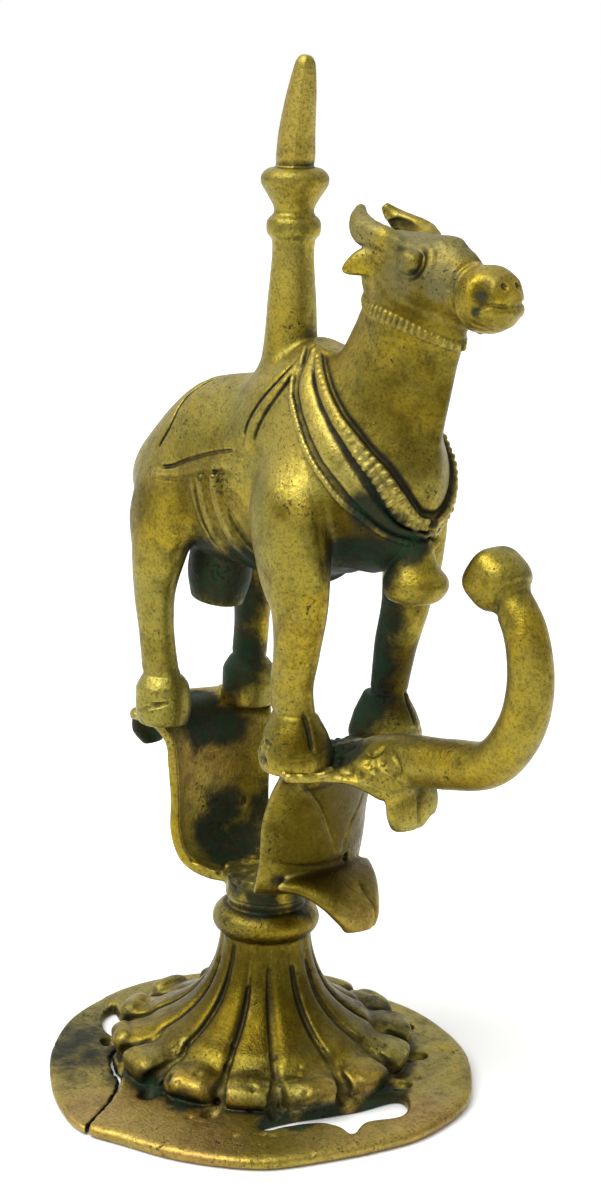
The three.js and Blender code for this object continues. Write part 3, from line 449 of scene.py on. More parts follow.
# Coats over the alloy, from first to last. A coat follows its guide, made ragged by a second pattern times
# its sway, starts and is full at two levels, and has a strength, a colour, and whether it dulls the metal.
COATS = {
    "olive metal": ["patches", "clouds", 0.3, 0.48, 0.82, 1.0, "#8d843e", False],
    "tan metal": ["tan", "clouds", 0.4, 0.3, 1.0, 0.75, "#a5834c", False],
    "tarnish": ["clouds", "clouds", 0, 0.4, 0.74, 0.6, "#5f5318", False],
    "lamp oil": ["oil", "sand", 0.3, 0.66, 0.92, 0.6, "#503d1a", False],
    # Dark film over its spots, partly painted shade.
    "dark film and painted shade": ["film_and_shade", "clouds", 0.5, 0.34, 1.15, 0.95, "#4a3d08", False],
    # Paler polish over its spots, partly painted highlight.
    "hand polish and painted highlight": ["rubbed_and_highlight", "clouds", -0.4, -0.1, 0.7, 0.6, "#b8a64e", False],
    "worn ridges": ["ridge", "wear", 0.5, 0.38, 0.95, 0.5, "#b8a85c", False],
    "lead bloom": ["lead", "oil", 0.6, 0.36, 1.1, 0.66, "#6e6a45", True],
    "sandy skin": ["speck", "sand", 0.3, 0.6, 0.86, 0.6, "#39320e", False],
    # Dark in every closed-in hollow: dirt, and painted shade where the light is cut off.
    "dirt and painted shade in hollows": ["hollow", "clouds", 0.5, 0.42, 1.0, 0.8, "#262108", True],
    "dirt in lines": ["recess", "wear", 0.5, 0.54, 1.06, 0.93, "#191705", True],
    # Near-black over the verdigris spots: verdigris, and painted shade under the body and in the plate's
    # holes.
    "black verdigris and painted shade": ["verdigris_and_shade", "clouds", 1.0, 0.6, 1.25, 0.93, "#12180a", True],
    "green verdigris": ["verdigris_and_shade", "bloom", 1.6, 1.4, 1.95, 0.75, "#0b341a", True],
    "gas pits": ["pits", "crowd", 0.75, 1.03, 1.14, 0.8, "#151005", True],
}
# How high each pattern or coat stands on the skin, in mm.
SKIN_GRAIN = {"sand": 0.11, "flats": 0.17, "speck": 0.05, "gas pits": -0.14}
# Roughness of the bare metal where it is most and least polished, what a crust adds to it, and how metallic
# a full crust still is.
POLISHED_ROUGHNESS = 0.33
DULL_ROUGHNESS = 0.48
CRUST_ROUGHNESS = 0.2
CRUST_METALLIC = 0.65

# The light comes down from the camera's upper left. Sheets of the light tent: aim, strength and edge.
LIGHT_FROM = (-0.1, -0.55, 0.83)
SUN_STRENGTH = 2.9
SUN_SPREAD = 50.0
TENT_DIM = 0.06
TENT_SHEETS = [(LIGHT_FROM, 0.92, -0.3), ((-0.72, 0.67, 0.15), 0.8, 0.1), ((0.7, 0.68, 0.2), 0.38, 0.3)]
# Half the side of the paper sheet, in metres.
PAPER_HALF = 3.0

# The camera stands ahead of the bull's right shoulder and looks a little down. Degrees and mm.
CAMERA_TURN = 47.0
CAMERA_TILT = 13.7
CAMERA_ROLL = 1.5
CAMERA_DISTANCE = 437.0
CAMERA_HEIGHT = 208.5
CAMERA_ASIDE = 5.6
LENS = 66.0
SENSOR_WIDTH = 36.0


def smooth_run(points, places, closed=False):
    """Smooth run through points, at places from 0 to 1. The ends carry on straight."""
    points = np.asarray(points, float)
    count = len(points)
    spans = count if closed else count - 1
    where = np.asarray(places, float) * spans
    index = np.minimum(where.astype(int), spans - 1)
    weight = (where - index)[:, None]
    if closed:
        before, start, end, after = (points[(index + step) % count] for step in (-1, 0, 1, 2))
    else:
        padded = np.vstack([2 * points[0] - points[1], points, 2 * points[-1] - points[-2]])
        before, start, end, after = (padded[index + step] for step in (0, 1, 2, 3))
    gaps = [np.sqrt(np.linalg.norm(b - a, axis=1))[:, None]
            for a, b in ((before, start), (start, end), (end, after))]
    middle = np.where(gaps[1] < NO_GAP, 1.0, gaps[1])
    first = np.where(gaps[0] < NO_GAP, middle, gaps[0])
    last = np.where(gaps[2] < NO_GAP, middle, gaps[2])
    leave = (start - before) / first - (end - before) / (first + middle) + (end - start) / middle
    reach = (end - start) / middle - (after - start) / (middle + last) + (after - end) / last
    leave, reach = leave * middle, reach * middle
    square = -3 * start + 3 * end - 2 * leave - reach
    cube = 2 * start - 2 * end + leave + reach
    return start + leave * weight + square * weight ** 2 + cube * weight ** 3


def heading(points, places):
    """Direction along a smooth run, from just behind each place to just ahead of it."""
    ahead = smooth_run(points, np.minimum(places + NUDGE, 1))
    behind = smooth_run(points, np.maximum(places - NUDGE, 0))
    return ahead - behind


def unit(vectors):
    """Directions of length one."""
    lengths = np.linalg.norm(vectors, axis=-1, keepdims=True)
    return vectors / np.maximum(lengths, 1e-9)


def skin(rings):
    """Closed skin over rings of points, with a fan at each end."""
    rows, sides = rings.shape[:2]
    order = np.arange(rows * sides).reshape(rows, sides)
    onward = np.roll(order, -1, axis=1)
    quads = np.stack([order[:-1], onward[:-1], onward[1:], order[1:]], axis=-1).reshape(-1, 4)
    ends = []
    for ring, turn in ((order[0], 1), (order[-1], -1)):
        fan = np.stack([np.full(sides - 2, ring[0]), ring[2:], ring[1:-1]], axis=-1)
        ends.append(fan[:, ::turn])
    return rings.reshape(-1, 3), np.vstack(ends), quads


def loft(stations, across=(0, 1, 0), steps=56, sides=64):
    """Oval sections square to a smooth spine. The keel draws a section to an edge in front."""
    table = np.array([list(s) + [0] * (6 - len(s)) for s in stations], float)
    places = np.linspace(0, 1, steps + 1)
    spine = smooth_run(table[:, :3], places)
    sizes = smooth_run(table[:, 3:], places)
    along = unit(heading(table[:, :3], places))
    across = np.asarray(across, float)
    side = unit(across - along * (along @ across)[:, None])
    up = np.cross(along, side)
    angle = 2 * np.pi * (np.arange(sides) + 0.5) / sides
    narrowing = 1 - sizes[:, 2:] * np.maximum(0, -np.sin(angle))
    wide = (sizes[:, :1] * np.cos(angle) * narrowing)[..., None]
    deep = (sizes[:, 1:2] * np.sin(angle))[..., None]
    return skin(spine[:, None] + side[:, None] * wide + up[:, None] * deep)


def turned(profile, centre_x=0.0, sides=96, smooth=1):
    """A form turned about an upright axis, from [radius, height] going up."""
    profile = np.asarray(profile, float)
    if smooth > 1:
        run = smooth_run(np.column_stack([profile, np.zeros(len(profile))]),
                         np.linspace(0, 1, smooth * (len(profile) - 1) + 1))
        profile = run[:, :2]
    angle = 2 * np.pi * np.arange(sides) / sides
    rings = np.empty((len(profile), sides, 3))
    rings[..., 0] = centre_x + profile[:, :1] * np.cos(angle)
    rings[..., 1] = profile[:, :1] * np.sin(angle)
    rings[..., 2] = profile[:, 1:2]
    return skin(rings)


def pair(stations):
    """Stations as given for the left side, and mirrored to the right."""
    return [stations, [[x, -y, *rest] for x, y, *rest in stations]]


def upright(outline, bottom, top):
    """An upright cutter or plate on a closed outline of [x, y] points."""
    flat = np.asarray(outline, float)
    rings = np.array([np.column_stack([flat, np.full(len(flat), z)]) for z in (bottom, top)])
    points, _, quads = skin(rings)
    sides = len(flat)
    middle = flat.mean(axis=0)
    points = np.vstack([points, [*middle, bottom], [*middle, top]])
    turn = np.arange(sides)
    after = (turn + 1) % sides
    low = np.column_stack([turn, np.full(sides, 2 * sides), after])
    high = np.column_stack([turn + sides, after + sides, np.full(sides, 2 * sides + 1)])
    return points, np.vstack([low, high]), quads


def smooth_outline(points, steps):
    """A closed smooth outline through [x, y] points."""
    flat = [[x, y, 0] for x, y in points]
    return smooth_run(flat, np.arange(steps) / steps, closed=True)[:, :2]


def polar(table):
    """Rows of [degrees, radius] as x and y."""
    table = np.asarray(table, float)
    turn = np.radians(table[:, 0])
    return np.column_stack([table[:, 1] * np.cos(turn), table[:, 1] * np.sin(turn)])


def cage_wall(profile, facing, rows=60, steps=48):
    """One barrel wall, from its floor at the hub up to the ledge under two hooves."""
    places = np.linspace(0, 1, rows + 1)
    at = smooth_run(profile, places)
    along = heading(profile, places)[:, :2]
    normal = unit(np.column_stack([along[:, 1], -along[:, 0]]))
    turn = np.linspace(-1, 1, steps + 1)
    angle = np.radians(facing + at[:, 2:] * turn)
    sides = []
    for offset in (0.5 * WALL_THICK, -0.5 * WALL_THICK):
        radius = (at[:, 0] + offset * normal[:, 0])[:, None]
        height = (at[:, 1] + offset * normal[:, 1])[:, None] + 0 * angle
        sides.append(np.stack([radius * np.cos(angle), radius * np.sin(angle), height], axis=-1))
    rings = np.concatenate([sides[0], sides[1][:, ::-1]], axis=1)
    points, _, quads = skin(rings)
    count = 2 * (steps + 1)
    ends = []
    for row in (0, rows):
        left = row * count + np.arange(steps)
        right = row * count + count - 1 - np.arange(steps)
        quad = np.column_stack([left, left + 1, right - 1, right])
        ends.append(quad if row else quad[:, ::-1])
    return points, np.zeros((0, 3), int), np.vstack([quads, *ends])


class Wax:
    """A block of wax: at every sample, the distance in mm to the skin, negative inside."""

    def __init__(self, low, high, grain):
        self.grain = grain
        self.low = np.floor(np.asarray(low) / grain).astype(int)
        self.high = np.ceil(np.asarray(high) / grain).astype(int)
        self.depth = np.full(self.high - self.low + 1, FAR, np.float32)

    def window(self, low, high):
        """The part of the block between two corners in samples and where it starts, or None and None."""
        start = np.maximum(np.asarray(low), self.low)
        end = np.minimum(np.asarray(high), self.high) + 1
        if (end <= start).any():
            return None, None
        cut = tuple(slice(a, b) for a, b in zip(start - self.low, end - self.low))
        return self.depth[cut], start

    def around(self, low, high):
        """The part of the block between two corners in mm, with its x, y and z."""
        low = np.floor(np.asarray(low) / self.grain).astype(int)
        high = np.ceil(np.asarray(high) / self.grain).astype(int)
        part, start = self.window(low, high)
        if part is None:
            return None, None
        places = [((start[k] + np.arange(part.shape[k])) * self.grain).astype(np.float32) for k in range(3)]
        return part, np.meshgrid(*places, indexing="ij", sparse=True)

    def form(self, shape):
        """Distances to a closed shape, and the part of the block that they cover."""
        points, triangles, quads = shape
        scale = openvdb.createLinearTransform(voxelSize=self.grain)
        grid = openvdb.FloatGrid.createLevelSetFromPolygons(
            np.ascontiguousarray(points, dtype=np.float32),
            triangles=np.ascontiguousarray(triangles, dtype=np.uint32),
            quads=np.ascontiguousarray(quads, dtype=np.uint32),
            transform=scale, halfWidth=BAND / self.grain)
        low, high = grid.evalActiveVoxelBoundingBox()
        part, start = self.window(low, high)
        if part is None:
            return None, None
        distance = np.empty(part.shape, np.float32)
        grid.copyToArray(distance, ijk=tuple(int(v) for v in start))
        return part, distance

    def add(self, shape, blend=0.6):
        """Joins a closed shape on to the wax."""
        join(*self.form(shape), blend)

    def cut(self, shape, blend=0.3):
        """Takes a closed shape out of the wax."""
        carve(*self.form(shape), blend)

    def along(self, path, radii, reach=1.2):
        """Distances to a round cord along a path, in the window that it needs."""
        path = np.asarray(path, float)
        radii = np.broadcast_to(np.asarray(radii, float), len(path))
        margin = radii.max() + reach
        part, places = self.around(path.min(axis=0) - margin, path.max(axis=0) + margin)
        if part is None:
            return None, None
        distance = np.full(part.shape, FAR, np.float32)
        x, y, z = (axis.ravel() for axis in places)
        for a, b, wide_a, wide_b in zip(path[:-1], path[1:], radii[:-1], radii[1:]):
            low = np.minimum(a, b) - margin
            high = np.maximum(a, b) + margin
            spans = []
            for axis, lowest, highest in zip((x, y, z), low, high):
                spans.append(slice(*np.searchsorted(axis, (lowest, highest))))
            if any(span.start >= span.stop for span in spans):
                continue
            line = b - a
            length = max(float(line @ line), 1e-9)
            gx = x[spans[0]][:, None, None] - a[0]
            gy = y[spans[1]][None, :, None] - a[1]
            gz = z[spans[2]][None, None, :] - a[2]
            share = np.clip((gx * line[0] + gy * line[1] + gz * line[2]) / length, 0, 1)
            near = (gx - share * line[0]) ** 2 + (gy - share * line[1]) ** 2 + (gz - share * line[2]) ** 2
            near = np.sqrt(near) - (wide_a + share * (wide_b - wide_a))
            spot = distance[tuple(spans)]
            np.minimum(spot, near, out=spot)
        return part, distance

    def raise_cord(self, path, radii, blend=0.3):
        """Joins a round cord on to the wax."""
        join(*self.along(path, radii), blend)

    def chase(self, path, radii, blend=0.3):
        """Presses a round tool into the wax along a path."""
        carve(*self.along(path, radii), blend)

    def oval(self, centre, axes, sizes, squareness=2.0):
        """Distances to a bead: an oval with its own axes, square-sided where squareness is high."""
        centre = np.asarray(centre, float)
        sizes = np.asarray(sizes, float)
        margin = sizes.max() + 1.0
        part, places = self.around(centre - margin, centre + margin)
        if part is None:
            return None, None
        gx, gy, gz = (axis - value for axis, value in zip(places, centre))
        total = 0
        for axis, size in zip(axes, sizes):
            total = total + np.abs((gx * axis[0] + gy * axis[1] + gz * axis[2]) / size) ** squareness
        return part, ((total ** (1 / squareness) - 1) * sizes.min()).astype(np.float32)

    def bead(self, centre, axes, sizes, blend=0.2, squareness=2.0):
        """Joins a bead on to the wax."""
        join(*self.oval(centre, axes, sizes, squareness), blend)

    def dent(self, centre, axes, sizes, blend=0.2, squareness=2.0):
        """Presses a bead-shaped tool into the wax."""
        carve(*self.oval(centre, axes, sizes, squareness), blend)

    def sample(self, points):
        """Depth at any points, read between the samples."""
        place = np.asarray(points, float) / self.grain - self.low
        limit = np.array(self.depth.shape) - 2
        corner = np.clip(np.floor(place).astype(int), 0, limit)
        share = np.clip(place - corner, 0, 1)
        total = 0
        for step in np.ndindex(2, 2, 2):
            weight = np.prod(np.where(step, share, 1 - share), axis=1)
            index = corner + step
            total = total + weight * self.depth[index[:, 0], index[:, 1], index[:, 2]]
        return total

    def slope(self, points, reach=None):
        """Outward direction of the skin near any points."""
        reach = reach or self.grain
        points = np.asarray(points, float)
        steps = np.eye(3) * reach
        rise = [self.sample(points + step) - self.sample(points - step) for step in steps]
        return unit(np.stack(rise, axis=1))

    def settle(self, points, turns=4):
        """Points moved on to the skin."""
        points = np.asarray(points, float).copy()
        for _ in range(turns):
            points -= self.sample(points)[:, None] * self.slope(points)
        return points


def join(part, distance, blend):
    """Adds a form to a part of the block, with a fillet of about the blend."""
    if part is None:
        return
    overlap = np.maximum(blend - np.abs(part - distance), 0)
    np.minimum(part, distance, out=part)
    part -= overlap * overlap / (4 * blend)


def carve(part, distance, blend):
    """Takes a form out of a part of the block, with a softened edge."""
    if part is None:
        return
    inside = -distance
    overlap = np.maximum(blend - np.abs(part - inside), 0)
    np.maximum(part, inside, out=part)
    part += overlap * overlap / (4 * blend)


def resampled(points, pitch):
    """A smooth run through points, cut into equal steps of about the pitch."""
    fine = smooth_run(points, np.linspace(0, 1, FINE_STEPS * len(points)))
    lengths = np.concatenate([[0], np.cumsum(np.linalg.norm(np.diff(fine[:, :3], axis=0), axis=1))])
    count = max(2, int(round(lengths[-1] / pitch)) + 1)
    wanted = np.linspace(0, lengths[-1], count)
    return np.column_stack([np.interp(wanted, lengths, column) for column in fine.T])


def on_side(points, side):
    """Relief as drawn for the right side, or mirrored to the left."""
    points = np.array(points, float)
    points[..., 1] *= side
    return points


class Laid:
    """A path laid on the skin, with the direction along it, across it and out of the skin."""

    def __init__(self, wax, points, pitch=0.7):
        run = resampled(points, pitch)
        self.width = run[:, 3] if run.shape[1] > 3 else None
        self.path = wax.settle(run[:, :3])
        self.out = wax.slope(self.path, 1.0)
        self.along = unit(np.gradient(self.path, axis=0))
        self.across = unit(np.cross(self.out, self.along))
        self.out = np.cross(self.along, self.across)

    def lifted(self, height):
        """The path at a height over the skin."""
        return self.path + self.out * height

    def beside(self, wax, side, gap=0.3):
        """The line on the skin just past one edge of a band."""
        return wax.settle(self.path + self.across * (side * (self.width + gap))[:, None])

    def notch(self, wax, height, radius, slant=0.0):
        """Cuts across a band at every step of the path."""
        for k in range(len(self.path)):
            middle = self.path[k] + self.out[k] * height
            arm = (self.across[k] + slant * self.along[k]) * self.width[k]
            wax.chase([middle - arm, middle + arm], radius, 0.1)


def rounded_ends(count, radius, share=0.12):
    """Radii that swell from a point at both ends of a stroke."""
    place = np.linspace(0, 1, count)
    return radius * np.clip(np.minimum(place, 1 - place) / share, 0.25, 1)


def groove(wax, points, radius, deep, blend=0.25):
    """A chased line of the given depth, tapering at both ends."""
    laid = Laid(wax, points, 0.6)
    radii = rounded_ends(len(laid.path), radius)
    wax.chase(laid.path + laid.out * (radii - deep * radii / radius)[:, None], radii, blend)


def chase_lines(wax, lines, side=1):
    """Grooves along a table of paths, as drawn or mirrored to the left."""
    for path, *size in lines:
        groove(wax, on_side(path, side), *size)


def rib(wax, points, radius, high, blend=0.4):
    """A raised cord that stands the given height above the skin."""
    laid = Laid(wax, points, 0.6)
    wax.raise_cord(laid.lifted(high - radius), radius, blend)


def band(wax, laid, high, thick=0.8, squareness=2.6):
    """A flat strap with rounded edges that stands the given height above the skin."""
    for k in range(len(laid.path)):
        centre = laid.path[k] + laid.out[k] * (high - thick)
        axes = (laid.along[k], laid.across[k], laid.out[k])
        wax.bead(centre, axes, [0.8, laid.width[k], thick], 0.12, squareness)


def bead_row(wax, points, pitch, sizes, high, squareness, uneven=0.06, seed=5):
    """A row of beads along a path, each [along, across, out] in size, no two quite alike."""
    random = np.random.default_rng(seed)
    laid = Laid(wax, points, pitch)
    for k in range(len(laid.path)):
        wobble = 1 + uneven * random.standard_normal(3)
        lean = uneven * random.standard_normal()
        along = laid.along[k] * math.cos(lean) + laid.across[k] * math.sin(lean)
        across = laid.across[k] * math.cos(lean) - laid.along[k] * math.sin(lean)
        centre = laid.path[k] + laid.out[k] * (high - sizes[2])
        wax.bead(centre, (along, across, laid.out[k]), np.array(sizes) * wobble, 0.12, squareness)


def pock(wax, low, high, count, sizes, seed, deep):
    """Shallow pocks of rough casting, scattered over the skin inside a box."""
    random = np.random.default_rng(seed)
    spots = wax.settle(random.uniform(low, high, (count, 3)))
    spots = spots[np.abs(wax.sample(spots)) < 0.2]
    for spot, out in zip(spots, wax.slope(spots, 0.8)):
        size = random.uniform(*sizes)
        wax.dent(spot + out * size * (1 - deep), np.eye(3), size * random.uniform(0.8, 1.2, 3), 0.25)


def crust(wax, centres, sizes, seed):
    """Spattered lumps, as left by rough casting."""
    random = np.random.default_rng(seed)
    for centre in centres:
        size = random.uniform(*sizes) * random.uniform(0.7, 1.3, 3)
        wax.bead(centre, np.eye(3), size, 0.5)


def model_stand():
    """Plate, lotus foot, ring and the lower half of the hub."""
    wax = Wax([-47.5, -53, -1.2], [50.5, 43.5, HUB_SPLIT + 1.4], STAND_GRAIN)
    rim = smooth_outline(polar(PLATE_RIM), 240)
    middle = rim.mean(axis=0)
    rows = []
    for reach, height in PLATE_PROFILE:
        ring = middle + (rim - middle) * (1 - reach / PLATE_REACH)
        rows.append(np.column_stack([ring, np.full(len(rim), height)]))
    wax.add(skin(np.array(rows)))
    for outline in (FRONT_HOLE, BACK_HOLE):
        wax.cut(upright(smooth_outline(outline, 120), -2, PLATE_THICK + 2), blend=0.8)
    lowered = upright(np.vstack([CRACK, WING_REACH]), PLATE_THICK - WING_DROP, PLATE_THICK + 3)
    wax.cut(lowered, blend=0.3)
    hand_marks(wax, *STAND_SWELLS)
    random = np.random.default_rng(3)
    line = resampled([[x - CRACK_WIDTH / 2, y, PLATE_THICK / 2] for x, y in CRACK], 0.5)
    line[:, :2] += random.normal(0, 0.16, (len(line), 2))
    for height in np.arange(-0.6, 3.8, 0.3):
        line[:, 2] = height
        wax.chase(line, radii=0.36, blend=0.1)
    for angle in RIM_CRACKS:
        reach = np.linspace(0, 1, 9)[:, None]
        crack = outward(math.radians(angle)) * (RIM_CRACK_FROM + reach * RIM_CRACK_LENGTH)
        crack += [0, 0, PLATE_THICK]
        crack[:, :2] += random.normal(0, 0.25, (len(crack), 2))
        wax.chase(wax.settle(crack), radii=0.24, blend=0.1)

    wax.add(lotus_foot(), blend=0.5)
    roll_petal_tips(wax)
    wax.add(turned(ring_profile()), blend=0.4)
    wax.add(turned(LOWER_HUB), blend=0.5)
    under_ring = polar([[angle, 10.4] for angle in range(0, 361, 10)])
    below = np.full(len(under_ring), RING_CENTRE - RING_TUBE - 0.2)
    wax.chase(np.column_stack([under_ring, below]), radii=0.4, blend=0.3)
    for pit in PETAL_PITS:
        wax.dent(wax.settle([pit])[0], np.eye(3), random.uniform(0.5, 0.9, 3), blend=0.2)
    pock(wax, [-32, -34, 2], [34, 34, 10], count=420, sizes=(0.35, 0.9), seed=51, deep=0.6)
    wax.cut(turned(FOOT_HOLLOW, smooth=6), blend=0.6)
    return wax


def roll_petal_tips(wax):
    """Each petal ends in a thick rolled tip of its own, none quite like the next."""
    random = np.random.default_rng(8)
    upward = np.array([0.0, 0, 1])
    for k in range(PETALS):
        turn = math.radians(PETAL_TURN + 360 * k / PETALS + random.normal(0, 0.8))
        out = outward(turn)
        across = np.array([-out[1], out[0], 0])
        droop = TIP_DROOP + random.normal(0, 0.06)
        lean = out * math.cos(droop) - upward * math.sin(droop)
        rise = upward * math.cos(droop) + out * math.sin(droop)
        swell = random.uniform(0.9, 1.1)
        # The petals at the back stand a little higher off the plate.
        lift = 1.3 * max(0.0, math.cos(turn - math.pi)) + random.normal(0, 0.25)
        centre = out * (TIP_RADIUS + random.normal(0, 0.3)) + upward * (TIP_HEIGHT + lift)
        wax.bead(centre, (lean, across, rise), np.array(TIP_SIZES) * swell, blend=0.4, squareness=3.2)
        trough = out * (TROUGH_RADIUS + random.normal(0, 0.4)) + upward * (TROUGH_HEIGHT + lift)
        aside = np.linspace(-4, 4, 9)[:, None]
        wax.chase(trough + across * aside + upward * (0.35 - 0.06 * aside ** 2), radii=1.9, blend=1.8)
        gap_out = outward(turn + math.pi / PETALS)
        start = int(random.integers(0, 3))
        gap = resampled([gap_out * radius + upward * height for radius, height in PETAL_GAP[start:]], 0.7)
        above = wax.sample(gap)
        gap = np.where((np.abs(above) < 2)[:, None], wax.settle(gap, 2), gap)
        radii = np.interp(np.hypot(gap[:, 0], gap[:, 1]), GAP_RADII, GAP_HALF_WIDTHS)
        wax.chase(gap - gap_out * 0.1, radii, blend=0.15)


def outward(turn):
    """Level direction away from the foot's axis."""
    return np.array([math.cos(turn), math.sin(turn), 0])


def ring_profile():
    """Outer half of the round ring under the hub."""
    angle = np.radians(np.linspace(-90, 90, 40))
    radius = RING_RADIUS + RING_TUBE * np.cos(angle)
    height = RING_CENTRE + RING_TUBE * np.sin(angle)
    return np.column_stack([radius, height])


def lotus_foot():
    """Petals between deep grooves, with blunt rolled tips that stand clear of the plate."""
    rows = np.array(PETAL_ROWS, float)
    rows = smooth_run(rows, np.linspace(0, 1, 8 * len(rows)))
    steps = 28
    columns = PETALS * steps
    k = np.arange(columns)
    across = 2 * (k % steps) / steps - 1
    angle = np.radians(PETAL_TURN) + 2 * np.pi * (k - steps / 2) / columns
    radius, height, cleft = (rows[:, [i]] for i in range(3))
    dip = cleft * np.abs(across) ** PETAL_SHARPNESS
    reach = radius - dip
    rings = np.stack([reach * np.cos(angle), reach * np.sin(angle), height - dip / 3 + 0 * reach], axis=-1)
    return skin(rings)


def model_cage():
    """What is left of the lotus cage: hub, two walls, three lips, the arm and its bud."""
    wax = Wax([-43, -24, HUB_SPLIT - 1.4], [77, 24, 128], CAGE_GRAIN)
    wax.add(cage_wall(REAR_WALL, facing=177))
    wax.add(cage_wall(FRONT_WALL, facing=0), blend=0.8)
    wax.add(turned(UPPER_HUB), blend=1.0)
    for lip in (FRONT_LIP, REAR_LIP, LOWER_LIP):
        wax.add(loft(lip), blend=1.4)
    wax.add(loft(SPILL, across=(1, 0, 0)), blend=1.6)
    hand_marks(wax, *CAGE_SWELLS)
    wax.add(loft(ARM), blend=2.4)
    wax.add(loft(ARM_ROOT), blend=2.0)
    model_bud(wax)
    chase_lines(wax, CAGE_LINES)
    for notch in HUB_NOTCHES:
        wax.dent(notch, np.eye(3), [1.6, 1.6, 1.5], blend=0.5, squareness=3.0)
    wax.dent(wax.settle([WALL_HOLE])[0], np.eye(3), [0.9, 0.6, 1.3], blend=0.3)
    pock(wax, [-11, -11, 41], [11, 11, 46], count=90, sizes=(0.7, 1.5), seed=61, deep=0.5)
    pock(wax, [14, -8, 74], [40, 12, 78], count=120, sizes=(0.4, 1.0), seed=63, deep=0.5)
    random = np.random.default_rng(17)
    lumps = 60
    for x, y, radius in HOOF_AT:
        angle = random.uniform(0, 2 * math.pi, lumps)
        reach = radius * random.uniform(0.92, 1.24, lumps)
        spots = np.column_stack([x + reach * np.cos(angle), y + reach * np.sin(angle), np.full(lumps, LEDGE)])
        near = np.abs(wax.sample(spots)) < 1.6
        crust(wax, wax.settle(spots[near]), sizes=(0.35, 0.9), seed=3)
    between = wax.settle(random.uniform([17, -6, 75], [27, 8, 78], (90, 3)))
    crust(wax, between[np.abs(wax.sample(between)) < 0.3], sizes=(0.3, 0.8), seed=4)
    return wax


def model_bud(wax):
    """A blunt lotus bud with flattened sides and a crease where it leaves the arm."""
    wax.add(loft(BUD), blend=0.5)
    along = unit(np.array(BUD_AIM))
    across = np.array([0.0, 1, 0])
    out = np.cross(along, across)
    wax.bead(BUD_MIDDLE, (along, across, out), [5.2, 5.6, 5.4], blend=0.6, squareness=3.0)
    turn = np.radians(np.arange(0, 361, 12))[:, None]
    ring = BUD_CREASE + 5.2 * (across * np.cos(turn) + out * np.sin(turn))
    wax.chase(wax.settle(ring), radii=0.4, blend=0.5)


def model_bull():
    """The bull with its lamp stem, from the soles of the hooves to the tip of the spike."""
    wax = Wax([-42, -23, 72.2], [64, 23, 211.6], BULL_GRAIN)
    for form, fillet in BODY:
        wax.add(loft(form), fillet)
    for hoof in (*pair(FORE_HOOF), *pair(HIND_HOOF)):
        wax.add(loft(hoof), blend=0.9)
    wax.add(turned(STEM, STEM_X, smooth=6), blend=1.6)
    spike = [[STEM_X + lean, 0, height, half, half] for height, half, lean in SPIKE]
    wax.add(loft(spike, sides=4), blend=0.5)
    wax.add(loft([[x, y, z, 0.9 * wide, 0.9 * deep] for x, y, z, wide, deep in spike]), blend=0.5)
    hand_marks(wax, *BULL_SWELLS)
    model_head(wax)
    chase_cloth(wax)
    hang_garlands(wax)
    tool_hooves(wax)
    hang_bell(wax)
    return wax


def hang_bell(wax):
    """A pear-shaped bell, cast on, fuller on its left, with the ends of the garland looped over it."""
    wax.add(turned(BELL, BELL_X, smooth=5), blend=0.5)
    wax.bead(BELL_FULLNESS, np.eye(3), [5.6, 5.5, 3.2], blend=1.0)
    for end in GARLAND_ENDS:
        wax.bead(end, np.eye(3), [1.1, 1.1, 1.5], blend=0.3)
    groove(wax, BELL_CREASE, radius=0.4, deep=0.2)


def model_head(wax):
    """Head, muzzle, horns, ears, face and the notched collar at the top of the neck."""
    wax.add(loft(HEAD), blend=2.2)
    wax.add(loft(MUZZLE), blend=0.7)
    for horn in pair(HORN):
        wax.add(loft(horn, across=(1, 0, 0)), blend=0.9)
    for ear in pair(EAR):
        wax.add(loft(ear, across=(0, 0, 1)), blend=0.7)
    wax.bead(FOREHEAD, np.eye(3), [2.6, 3, 1.4], blend=1.2)
    pock(wax, [24, -8, 170], [52, 8, 184], count=160, sizes=(0.6, 1.8), seed=71, deep=0.16)
    for side in (1, -1):
        model_face(wax, side)
        collar = Laid(wax, on_side(COLLAR, side), 0.5)
        ribs = Laid(wax, on_side(COLLAR, side), 1.27)
        band(wax, collar, high=0.65)
        ribs.notch(wax, height=0.6, radius=0.42)


